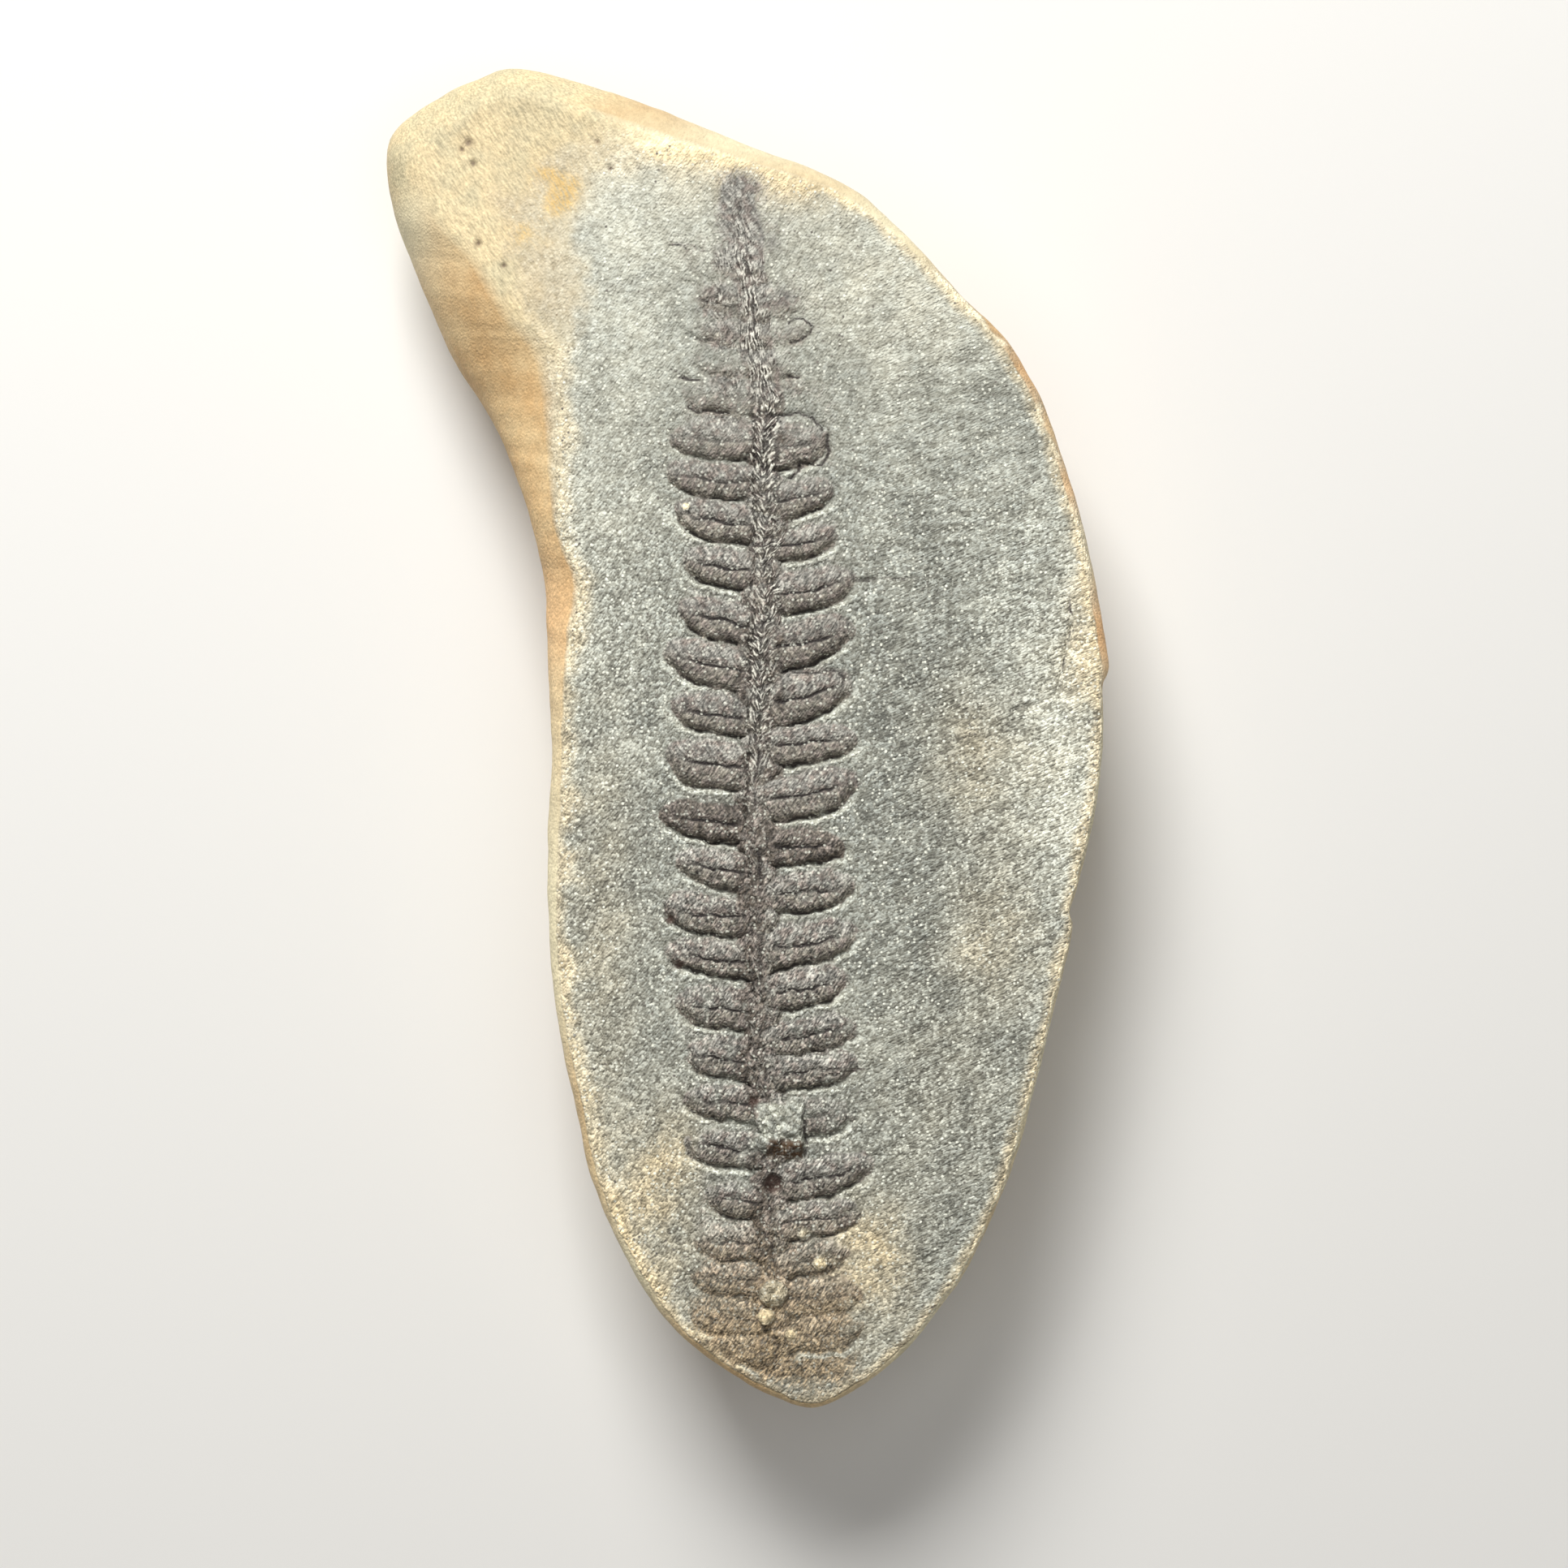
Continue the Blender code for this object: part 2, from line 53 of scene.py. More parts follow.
nodule = {
    "name": "fossilFernNodule",
    "thickness": 16.5,
    "baseShare": 0.3,  # the flat that it rests on, as a share of the outline
    # how far down the widest outline lies: least, share of how far it stands out, most
    "shoulder": (0.6, 1.05, 8.0),
    # how sharply the face's edge breaks off: where the rind hardly shows, where it shows wide
    "edgeBreak": (math.radians(12), math.radians(50)),
    "edgeBreakAt": 5.0,
    "backSwell": 0.35,
    "backWaves": [(0.21, 0.13, 0.6, 1.0), (-0.26, 0.17, 2.1, 0.7)],  # turn in x, in y, start, share
    # how the split face falls away: by how much, over what reach, from which x or x, y
    "crown": (0.7, 24.0, 3.0),
    "ends": (0.35, 50.0),
    "lobe": (3.0, 20.0, -25.0, 47.0),
    # widest outline x, y and the split face's edge x, y, clockwise from the lobe at top left
    "rim": [
        (-21.1, 50.9, -19.9, 48.2),
        (-18.3, 51.6, -17.4, 48.6),
        (-13.1, 50.4, -12.3, 47.2),
        (-6.2, 47.6, -6.7, 45.2),
        (0.0, 44.9, -0.6, 43.3),
        (6.3, 42.4, 5.7, 41.3),
        (10.0, 39.9, 9.5, 39.0),
        (15.9, 33.7, 15.4, 33.2),
        (19.5, 30.1, 18.9, 29.5),
        (21.8, 26.4, 21.1, 25.9),
        (23.7, 21.5, 23.0, 21.2),
        (25.2, 16.6, 24.4, 16.3),
        (26.3, 11.7, 25.5, 11.4),
        (27.3, 6.4, 26.4, 6.3),
        (27.3, 4.9, 26.5, 4.9),  # chipped corner
        (26.8, 3.6, 26.4, 3.6),
        (26.8, -0.7, 26.4, -0.7),
        (26.2, -5.6, 25.8, -5.6),
        (25.1, -10.5, 24.7, -10.4),
        (24.3, -13.2, 24.1, -13.2),  # small notch
        (24.5, -14.3, 24.2, -14.3),
        (23.8, -17.8, 23.4, -17.7),
        (22.4, -23.4, 21.9, -23.2),
        (20.9, -29.5, 20.3, -29.3),
        (19.0, -35.0, 18.5, -34.7),
        (15.5, -41.8, 15.1, -41.4),
        (10.9, -47.2, 10.7, -46.7),
        (5.7, -50.5, 5.5, -50.0),
        (2.0, -49.9, 2.2, -49.2),
        (-2.6, -47.3, -2.3, -46.7),
        (-6.6, -43.6, -6.1, -43.1),
        (-9.6, -38.7, -9.1, -38.2),
        (-11.9, -33.2, -11.3, -32.9),
        (-13.4, -26.4, -12.7, -26.2),
        (-14.6, -20.3, -13.9, -20.2),
        (-15.1, -13.6, -14.3, -13.5),
        (-15.2, -8.0, -14.1, -8.0),
        (-14.9, -2.5, -13.9, -2.5),
        (-15.1, 3.1, -13.7, 3.0),
        (-15.4, 8.0, -13.3, 7.6),
        (-15.6, 12.1, -12.6, 11.4),  # step in the broken edge
        (-16.4, 15.8, -14.0, 15.0),
        (-17.8, 19.9, -14.3, 18.9),
        (-20.0, 24.7, -14.2, 23.9),
        (-22.6, 28.8, -14.5, 28.7),
        (-24.8, 33.4, -17.2, 31.5),
        (-26.5, 37.5, -19.8, 35.6),
        (-27.6, 40.8, -23.3, 39.4),
        (-28.1, 44.7, -24.9, 43.7),
        (-27.4, 47.4, -24.0, 45.8),
        (-24.0, 49.7, -22.1, 47.1),
    ],
    "spine": [(-11, 34), (-2, 26), (3, 15), (5, 0), (5, -12), (4.5, -24)],
    "solidRimSteps": 150,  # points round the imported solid's outline
    # how finely this piece is meshed
    "rimSteps": 640,
    "shoulderRings": 8,
    "backRings": 22,
    "stoneStep": 0.5,
    "rimGap": 0.24,
    # small uneven shapes: height, size across
    "brokenEdge": [(0.14, 1.3), (0.07, 0.5)],
    "outlineWaver": [(0.06, 2.6)],
    "faceSwells": [(0.10, 6.0), (0.07, 2.3), (0.04, 1.0)],
    "swellsUnderFilm": 0.35,
    "skinSwells": [(0.10, 5.0), (0.04, 1.4)],
    "scarStep": 0.25,  # between the mesh's points along them
    "scarStray": (0.2, 1.0),  # how far they bend, size across
    "scarPatchy": (1.2, 63.0, 0.8, 0.8, 0.3, 1.1),  # size, seed, middle, swing, least, most
    # how dark the painted shade in a sunken scar is
    "scarShade": 0.8,
    "scarBare": 0.7,
    # scars on the plain stone: x, y, x, y, width, height
    "scars": [
        (-10.3, -29.2, -7.6, -27.2, 0.25, 0.10),
        (-9.5, -29.9, -6.9, -28.0, 0.22, 0.08),
        (8.1, 11.8, 12.7, 12.0, 0.14, -0.2),
        (24.2, 10.6, 24.4, 8.3, 0.14, -0.2),
        (24.4, 8.3, 23.8, 5.8, 0.16, -0.28),
        (23.8, 5.8, 23.4, 2.8, 0.16, -0.28),
        (22.6, 2.8, 20.0, 2.0, 0.16, -0.22),
        (8.4, -14.4, 10.0, -14.7, 0.15, -0.12),
        (4.6, -31.2, 8.4, -31.2, 0.18, 0.12),
        (1.2, -36.8, 1.9, -38.2, 0.14, -0.16),
        (1.9, -38.2, 2.0, -40.5, 0.16, -0.28),
        (-4.8, -29.8, 0.4, -29.0, 0.35, 0.12),
    ],
    # where the lobe's own rind ends on the split face: y, x
    "lobeLine": [
        (26.0, -30.0),
        (28.0, -14.1),
        (29.6, -13.4),
        (32.7, -11.9),
        (35.8, -12.6),
        (39.6, -13.4),
        (42.3, -12.2),
        (43.9, -10.3),
        (45.3, -6.0),
        (60.0, 6.0),
    ],
    "lobeRagged": [(1.3, 2.6, 51.0), (0.8, 0.9, 52.0)],  # how far it strays, size across, seed
    "lobeNear": (-0.8, 1.8),  # half of its rind starts at that line, half of it further in
    "lobeFar": (2.0, 5.0),
    "lobePitDepth": (0.2, 0.8),  # in millimetres, and how dark: partly the pit's own dark red-brown, partly painted shade in the hollow
    # pits in the lobe: x, y, radius
    "lobePits": [
        (-21.4, 45.4, 0.34),
        (-21.9, 44.9, 0.22),
        (-21.0, 43.8, 0.26),
        (-20.5, 37.5, 0.24),
        (-18.5, 35.7, 0.22),
        (-11.4, 45.0, 0.2),
        (-10.4, 42.9, 0.24),
    ],
    "lobeGrain": (-0.96, 0.06, 0.55, 2.6),  # direction, height, size across and along
    "rightGrain": [(0.18, 0.09, 1.1, 3.2), (0.65, 0.12, 0.6, 2.4)],  # above and below
    "leftGrain": (0.95, 0.05, 0.4, 1.4),
    "rightFrom": (8.0, 3.0),  # from where, over what reach
    "leftFrom": (-3.0, -3.0),
    "grainTurns": (-6.0, 8.0),  # where the right grain's direction turns
    # orange rust on the skin: x, y, reach in x, reach in y, share
    "rust": [
        (21.0, 28.0, 3.0, 5.0, 0.6),
        (24.5, 19.0, 3.0, 3.0, 0.7),
        (27.0, 8.0, 3.0, 4.0, 0.9),
        (-15.5, 9.5, 3.0, 5.0, 0.5),
    ],
    # ochre stains on the lobe, and pale patches round the skin that are partly bare pale stone
    # and partly painted light: x, y, reach in x, reach in y
    "ochre": [
        (-13.7, 41.8, 1.7, 1.4),
        (-14.5, 40.2, 1.6, 1.2),
        (-15.4, 42.8, 1.0, 0.7),
        (-17.0, 38.2, 1.0, 1.2),
    ],
    "ochreMost": 0.9,
    # the pale patches on the right, at x 22 to 27, and the one at the lobe's left are painted light
    # on skin that turns away from the lamp
    "bare": [
        (26.6, -4.0, 4.0, 8.0),
        (-15.0, -14.0, 2.5, 18.0),
        (14.0, -45.0, 9.0, 7.0),
        (-9.0, -41.0, 4.0, 7.0),
        (22.0, -26.0, 5.0, 14.0),
        (25.0, 13.0, 4.0, 12.0),
        (2.0, 45.5, 9.0, 3.0),
        (12.0, 39.0, 7.0, 5.0),
        (-27.5, 40.0, 4.0, 6.0),
    ],
    # on the right the rim is stone: from where, how far down, how far it strays, size across
    "rimStoneFrom": (12.0, 4.0),
    "rimStoneDown": (0.7, -0.6),
    "rimStray": (0.6, 2.2),
    "lobeOverRim": (-0.45, 50.5, 5.0),  # the lobe's rind goes on round the rim above a slant
    "paintedShadeAbove": ((-18.0, 8.0), (36.0, 6.0)),  # the far rim's skin is a little darker: painted shade
    "rustOverStone": 1.2,
    "stonePaler": 1.3,
    "stoneCreamier": 0.7,
    # uneven colour: strength, size and seed of the mottle, how pale and creamy it and the rim are
    "mottle": [(0.6, 3.0, 81.0), (0.4, 1.2, 82.0)],
    "mottlePaler": 0.25,
    "mottleCreamier": 1.2,
    "rimPaler": (0.1, 0.3, 2.5),  # on the right, more on the left, over what reach
    "rimCreamier": (0.7, 0.8, 0.6, 0.8),  # reach, more on the left, share, how ragged
    "leftSide": (0.0, -6.0),
    # painted highlight: how much paler the stone ridge below a pinnule is painted
    "lipHighlight": 1.2,
    # patches of colour on the split face: x, y, reach in x, reach in y, paler, creamier
    "stains": [
        (0.0, 46.0, 22.0, 10.0, 0.55, 0.1),
        (-4.0, 44.2, 7.0, 1.7, -0.25, 0.8),
        (5.0, 41.6, 6.0, 1.6, -0.15, 0.7),
        (-9.0, 36.0, 5.0, 9.0, 0.4, 0.0),
        (-10.5, 22.0, 4.5, 14.0, 0.35, 0.05),
        (12.0, 33.0, 8.0, 6.0, 0.5, 0.1),
        (23.5, -2.0, 3.2, 10.0, 0.95, 0.1),
        (25.0, 12.5, 1.2, 4.0, 0.1, 0.2),
        (-9.5, 3.0, 3.0, 7.0, 0.12, 0.0),
        (25.6, 6.5, 1.2, 4.0, 0.2, 0.3),
        (-13.6, -19.0, 1.2, 6.0, 0.2, 0.2),
        (21.0, 13.0, 4.0, 9.0, 0.35, 0.0),
        (15.0, 6.0, 6.0, 6.0, -0.15, 0.0),
        (12.0, -8.0, 6.0, 9.0, -0.14, 0.0),
        (-11.0, -11.0, 3.0, 8.0, -0.15, 0.0),
        (14.0, -27.0, 6.0, 8.0, -0.02, 0.1),
        (9.0, -39.5, 3.2, 4.0, 0.2, 0.7),
        (-6.0, -32.0, 2.5, 4.5, 0.1, 0.5),
        (-11.0, -16.0, 2.5, 16.0, 0.15, 0.25),
        (-8.5, -37.0, 3.0, 5.0, 0.2, 0.6),
        (18.5, -15.0, 3.0, 5.0, 0.2, 0.35),
        (17.0, -1.5, 3.5, 5.0, 0.1, 0.3),
        (24.8, 5.5, 1.3, 3.0, 0.15, 0.3),
        (12.0, 22.0, 5.0, 7.0, 0.12, 0.0),
        (-4.7, 17.3, 0.35, 0.35, 1.5, 1.0),
        (4.2, -37.4, 0.5, 0.5, 0.5, 0.8),
        (5.4, -39.6, 0.55, 0.55, 0.6, 0.8),
        (1.4, -43.6, 0.7, 0.7, 0.3, 0.9),
        (1.9, -41.8, 1.1, 1.1, 0.1, 0.3),
        (3.2, -45.0, 0.5, 0.5, 0.3, 0.7),
        (0.0, -44.0, 9.0, 5.0, -0.1, 0.35),
    ],
}

frond = {
    # down the rachis: y, x
    "rachis": [
        (42.6, -1.0),
        (31.0, 0.5),
        (24.9, 1.4),
        (12.7, 1.2),
        (-5.6, 0.6),
        (-17.8, 1.0),
        (-23.9, 0.9),
        (-30.0, 2.0),
        (-36.1, 1.6),
        (-49.0, 2.2),
    ],
    "rachisRib": 0.5,
    "rachisReach": 1.15,
    "rachisRibHeight": 0.02,
    "rachisGroove": 0.24,
    "rachisEnds": 1.5,  # over what reach it fades at both ends
    "rachisLeast": 0.4,  # how deep it is where it has no fibres
    "midline": (0.12, 0.16),  # the thin groove down the rachis: half width, depth
    # fibres fan out from the rachis: slope beside it, slope far out, over what reach
    "fan": (1.7, 0.3, 1.1),
    "fanWaver": (0.3, 0.9),  # how far the fibres stray, size across
    "fibre": (0.12, 0.42, 0.45),  # height, size across and along
    "fibreReach": (0.7, 0.7),  # how far out they are all there, over what they fade
    "fibreStray": (0.5, 2.0),  # how far that reach strays, size across
    # how strong the fibres are down the rachis: y, share
    "fibresAlong": [
        (44.0, 0.1),
        (39.0, 0.2),
        (37.0, 0.7),
        (32.0, 1.0),
        (24.0, 1.0),
        (16.0, 0.85),
        (2.0, 0.8),
        (-3.0, 0.6),
        (-8.0, 0.25),
        (-26.0, 0.25),
        (-30.0, 0.1),
        (-48.0, 0.1),
    ],
    "strandsAbove": (23.0, 4.0),  # over this height the fibres run up the rachis as strands
    "strands": (0.6, 2.0, 0.6),  # height and length beside a fibre's, how much closer they lie
    # loose fibres beside the tip's rachis: left and right edge, lower than, share
    "loose": ((-3.6, 1.2), (1.9, -0.6), (38.0, -2.0), 0.6),
    # patchiness: size across, seed, middle, swing, least, most
    "creasePatchy": (1.5, 5.0, 1.0, 0.9, 0.2, 1.6),
    "foldPatchy": (0.8, 6.0, 0.9, 1.1, 0.2, 1.2),
    "midlinePatchy": (1.5, 18.0, 0.5, 1.5),
    "fibrePatchy": (1.4, 19.0, 0.8, 0.7, 0.2, 1.0),
    "loosePatchy": (0.9, 20.0, 0.3, 1.6),
    "wornPatchy": (0.9, 88.0, 0.2, 1.6),
    "besidePatchy": (1.1, 91.0, 0.4, 1.6),
    # each pinnule: y at the rachis, reach, how far the tip turns up, width, darkness
    "left": [
        (35.0, 5.0, 1.2, 2.1, 0.35),
        (32.8, 4.5, 0.9, 2.2, 0.4),
        (30.3, 5.4, 0.5, 2.1, 0.45),
        (28.0, 5.6, 0.6, 2.3, 0.5),
        (25.4, 6.5, 0.5, 2.4, 0.5),
        (22.2, 7.4, 0.4, 2.8, 0.6),
        (19.0, 7.6, 1.0, 2.7, 0.6),
        (15.8, 6.8, 1.3, 3.0, 0.6),
        (12.3, 6.1, 1.0, 3.0, 0.6),
        (8.2, 6.3, 1.4, 3.0, 0.65),
        (4.7, 7.3, 1.8, 3.4, 0.7),
        (1.3, 6.7, 1.0, 3.0, 0.6),
        (-2.6, 7.0, 1.3, 3.5, 0.7),
        (-6.9, 7.3, 1.2, 2.8, 1.0),
        (-10.3, 6.3, 0.9, 2.8, 0.6),
        (-13.8, 7.3, 0.9, 3.0, 0.65),
        (-17.0, 7.3, 0.8, 2.6, 0.75),
        (-20.7, 6.4, 0.8, 3.2, 0.55),
        (-24.6, 5.8, 0.9, 3.2, 0.5),
        (-27.9, 6.3, 0.6, 2.7, 0.5),
        (-31.2, 6.8, 0.5, 2.9, 0.45),
        (-35.1, 4.9, 0.6, 2.9, 0.4),
        (-38.2, 5.8, 0.4, 2.8, 0.4),
        (-41.1, 6.3, 0.4, 2.4, 0.45),
        (-44.0, 6.3, 0.5, 2.6, 0.4),
        (-46.4, 4.3, 0.6, 2.2, 0.35),
    ],
    "right": [
        (32.3, 3.8, 0.5, 2.2, 0.4),
        (30.1, 4.3, 0.7, 2.0, 0.4),
        (27.9, 3.1, 0.4, 2.1, 0.35),
        (21.8, 4.8, 0.7, 3.4, 0.7),
        (17.5, 5.4, 1.2, 3.0, 0.5),
        (14.2, 5.5, 0.9, 2.4, 0.55),
        (10.6, 7.0, 1.2, 3.2, 0.5),
        (6.6, 7.1, 1.5, 3.4, 0.78),
        (2.6, 6.9, 1.3, 3.9, 0.7),
        (-0.8, 7.4, 0.6, 2.8, 0.55),
        (-4.9, 7.8, 1.5, 3.4, 0.6),
        (-8.3, 6.7, 0.1, 2.7, 1.0),
        (-12.0, 7.2, 0.8, 3.0, 0.6),
        (-16.0, 7.3, 1.3, 3.3, 0.6),
        (-19.3, 6.8, 1.0, 2.9, 0.7),
        (-22.8, 7.3, 0.9, 2.8, 0.6),
        (-25.6, 7.0, 1.0, 2.6, 0.6),
        (-28.9, 6.4, 0.6, 2.7, 0.25),
        (-33.7, 7.6, 1.7, 3.0, 0.6),
        (-36.8, 7.0, 1.1, 2.8, 0.55),
        (-39.8, 5.8, 1.0, 2.3, 0.5),
        (-42.5, 6.9, 0.7, 2.7, 0.45),
        (-45.3, 6.8, 0.9, 2.5, 0.4),
    ],
    # low down the rachis is dark: below this height, out to where, less on its right, how dark
    "rachisDark": ((-2.0, -6.0), (2.3, -1.6), (0.8, -0.6), 0.98),
    # the film close beside the rachis is dark: from, to, and not on the right below
    "beside": ((0.4, 0.3), (2.4, -1.2), (-2.0, -4.0), 0.4),
    "tipLength": 1.9,  # a pinnule's round tip, in half widths
    "turnUp": 1.4,  # power of the curve by which it turns up
    "fullness": 1.04,  # its width beside the one in its row
    "arch": (0.12, 3.2),  # a pinnule is one low arch: height, fullness
    "pillow": (0.13, 2.5),  # and each half of it a smaller one
    "pillowEdge": (1.0, -0.3),  # 1 is the pinnule's edge
    "vein": (0.11, 0.12),  # half width and depth of the groove along it
    "veinEnds": ((0.05, 0.2), (0.95, -0.3)),  # where along a pinnule it starts and ends
    "ribSlant": 0.6,  # how far the ribs lean back from the midvein
    "lowerHalf": (0.35, -0.75),  # a pinnule's lower and upper half: share in the middle, slope
    # the upper share also picks the lighter film colour, partly painted light on the half that faces
    # the lamp
    "upperHalf": (0.5, 1.2),
    "crease": (0.06, 0.42),  # depth all round, and what a lower edge adds
    "creaseTip": (0.25, (1.1, -0.4)),  # the share of it past the tip, where it fades
    "creaseByTone": (0.6, 0.6),  # share on the palest pinnule, what a dark one adds
    "creaseWidth": (0.25, 0.14),  # inside and outside the edge
    "creaseFull": 0.36,  # a crease so deep is all painted shade
    "foldFull": 0.16,  # the same for a single fold
    "foldFilm": 0.8,  # how much film lies in a fold
    "lip": (0.15, 0.32, 0.15),  # ridge of stone below a pinnule: height, offset, half width
    # film between the pinnules: share, out to where
    "between": (0.38, (7.0, -2.5)),
    "betweenLow": (0.3, (8.0, -3.0)),  # more of it at the bottom
    "onRachis": (1.8, -0.9),
    "edgeSoft": (0.12, 0.22),  # how softly the film ends on a lower and on an upper edge
    "thinAbove": 0.12,
    "filmByTone": (0.5, 0.8),
    "worn": 0.45,  # how much of it has gone where it is rough
    # towards its tip and its foot the frond fades
    "topFade": (31.0, -17.0),
    "bottomFade": (-44.0, 11.0),
    "faintest": (0.12, 0.38),  # the relief at the top and at the bottom
    "thinnest": (0.4, 0.85),  # the film there
    "brownBelow": (0.75, (-33.0, -13.0)),
    "waver": [(0.3, 2.8), (0.2, 1.1), (0.08, 0.45)],
    "wrinkles": [(0.09, 1.0), (0.05, 0.45)],  # on the film: height, size across
    "rumpled": (2.2, -0.5, (38.0, -2.0)),  # more of them on the smears, fewer at the very tip
    "rougherBelow": (-1.0, -14.0),  # from what height down the film is rough and thin
    "rougher": (0.2, 0.6, 0.9),  # how far its outlines stray there, size, and more wrinkles
    # single folds beside the tip and round the curled pinnules: depth, half width, points
    "folds": [
        (0.10, 0.14, [(-5.2, 37.0), (-4.3, 37.1), (-3.1, 36.5)]),
        (0.12, 0.16, [(-3.5, 32.7), (-2.5, 32.5), (-1.4, 32.3)]),
        (0.08, 0.14, [(-4.1, 33.6), (-2.8, 34.1), (-1.9, 34.4)]),
        (0.12, 0.15, [(-4.4, 30.1), (-3.4, 29.8), (-1.7, 29.9)]),
        (0.20, 0.15, [(-5.3, 27.0), (-4.6, 26.9), (-3.9, 26.8)]),
        (0.22, 0.18, [(-4.4, 24.8), (-3.7, 24.5), (-3.1, 24.5), (-1.3, 24.3)]),
        (0.15, 0.15, [(3.0, 31.2), (3.9, 31.4), (4.8, 30.9), (4.8, 30.4), (4.4, 30.1), (3.1, 29.6)]),
        (0.22, 0.16, [(3.0, 27.3), (3.5, 27.2), (3.9, 27.3)]),
        (0.24, 0.17, [(1.7, 24.1), (3.5, 24.3), (4.8, 24.2), (5.6, 23.2)]),
        (0.14, 0.12, [(3.5, 21.4), (4.6, 21.7), (5.9, 22.0)]),
        (0.14, 0.12, [(-5.9, 27.7), (-5.0, 27.2), (-4.1, 26.8)]),
        (0.10, 0.12, [(2.7, 33.1), (3.9, 32.9), (4.6, 32.2), (4.1, 31.9)]),
        (0.12, 0.12, [(-3.6, 29.5), (-2.9, 29.8), (-2.3, 29.6), (-1.8, 28.9)]),
        (0.14, 0.09, [(1.2, -37.3), (1.9, -38.2), (1.9, -40.6)]),
        (0.28, 0.14, [(4.25, -28.2), (4.4, -31.6)]),
        (0.14, 0.10, [(4.6, -25.9), (6.3, -25.4), (8.6, -24.9)]),
        (0.22, 0.14, [(2.4, 4.9), (6.4, 4.95), (7.3, 4.3)]),
        (0.12, 0.12, [(-5.9, 37.0), (-4.9, 37.1), (-4.4, 36.5)]),
        (0.10, 0.11, [(-3.7, 35.2), (-5.1, 34.6), (-3.6, 33.7)]),
        (0.28, 0.17, [(6.0, 22.7), (6.1, 21.6), (5.5, 20.7), (3.9, 20.9), (3.7, 20.2), (3.2, 19.6)]),
    ],
    "smearDark": 0.85,
    "smearGain": 1.2,  # how much more film a smear has than its share
    # smears of film round the tip: x, y, reach in x, reach in y, share
    "smears": [
        (-0.7, 41.0, 2.0, 2.0, 0.72),
        (-0.8, 38.9, 2.1, 2.1, 0.72),
        (-1.6, 35.9, 1.5, 1.7, 0.65),
        (-2.2, 32.6, 2.0, 1.6, 0.8),
        (-1.9, 30.2, 1.8, 1.5, 0.8),
        (-1.7, 26.8, 2.4, 2.0, 0.6),
        (1.7, 37.1, 1.3, 2.0, 0.5),
        (2.7, 32.6, 1.8, 1.6, 0.55),
        (3.1, 30.2, 1.8, 1.2, 0.45),
        (-1.8, 23.7, 3.2, 1.6, 0.6),
        (3.4, 26.4, 1.6, 1.2, 0.4),
    ],
    # the mineral cap on the lower rachis, steepest at its foot and right
    "cap": {
        "left": (0.3, 0.9),
        "right": (4.3, -0.3),
        "front": (-31.9, 1.3),
        "top": (-27.2, -0.6),
        "slope": (-27.2, -3.4),
        "height": (0.7, 0.35),  # at its brow, and the share of that at its top
        "grain": [(0.4, 0.8), (0.28, 0.4)],
        "mottle": (1.3, 0.55, 0.15),
        # its glassy brown front
        "glassyFrom": (-31.9, 0.4),
        "glassyTo": (-30.1, -0.6),
        "glassyRight": (1.1, 0.8),
    },
    "highest": (0.8, 0.2),  # nothing stands further above the crown, and how softly that ends
    "pitEdge": (1.15, -0.45),  # in radii of the pit
    # how dark a sunken knob's hollow is: partly its own dark red-brown, partly painted shade
    "pitDark": 0.85,
    "knobBare": 1.5,  # how far down its side a knob is bare
    # knobs and pits: x, y, radius, height, how bare of film
    "knobs": [
        (1.5, -32.7, 1.1, 0.4, 0.15),
        (1.9, -33.6, 0.75, -0.5, 0.0),
        (4.2, -37.4, 0.5, 0.3, 0.9),
        (5.4, -39.6, 0.55, 0.35, 0.9),
        (1.9, -41.8, 1.15, 0.8, 0.85),
        (1.4, -43.6, 0.7, 0.5, 0.9),
        (3.2, -45.0, 0.5, 0.3, 0.7),
        (0.4, -27.4, 0.4, -0.2, 0.0),
        (5.4, -5.5, 0.6, 0.35, 0.5),
        (-4.7, 17.3, 0.28, 0.16, 1.0),
        (-5.9, -13.7, 0.4, -0.2, 0.0),
        (-5.2, -17.1, 0.4, -0.2, 0.0),
    ],
    # how finely it is meshed: lattice step, reach from the rachis, lowest y, highest y
    "rachisMesh": (0.115, 1.3, -46.5, 43.0),
    "pinnuleMesh": (0.19, 8.7, -49.0, 38.5),
}


def smoothstep(t):
    t = np.clip(t, 0, 1)
    return t * t * (3 - 2 * t)


# 0 up to a place and 1 a stretch further on; a negative stretch looks the other way
def ease(value, place, stretch):
    return smoothstep((value - place) / stretch)


# 1 on a line or in a middle, and fading off to both sides
def bell(away, half):
    return np.exp(-((away / half) ** 2))


# 1 in the middle of a patch and fading off round it
def patch(x, y, row):
    middleX, middleY, reachX, reachY = row[:4]
    return np.exp(-(((x - middleX) / reachX) ** 2) - ((y - middleY) / reachY) ** 2)


# soft noise, about -1 to 1, whose swells are size mm across; each use has its own seed
def ripple(x, y, size, seed):
    return np.array([noise.noise((a, b, seed)) for a, b in zip(x / size, y / size)])


# several ripples added up, each row a height and a size across
def ripples(x, y, rows, seed):
    return sum(high * ripple(x, y, size, seed + 7.3 * k) for k, (high, size) in enumerate(rows))


# the same with a seed in each row
def mottled(x, y, rows):
    return sum(high * ripple(x, y, size, seed) for high, size, seed in rows)


# a share that comes and goes over the surface
def uneven(x, y, size, seed, middle, swing, least=0, most=1):
    return np.clip(middle + swing * ripple(x, y, size, seed), least, most)


# ripples drawn out along a slant
def grain(x, y, row, seed):
    slant, high, across, along = row
    u = x * math.cos(slant) + y * math.sin(slant)
    v = y * math.cos(slant) - x * math.sin(slant)
    return high * ripple(u / along, v / across, 1.0, seed)


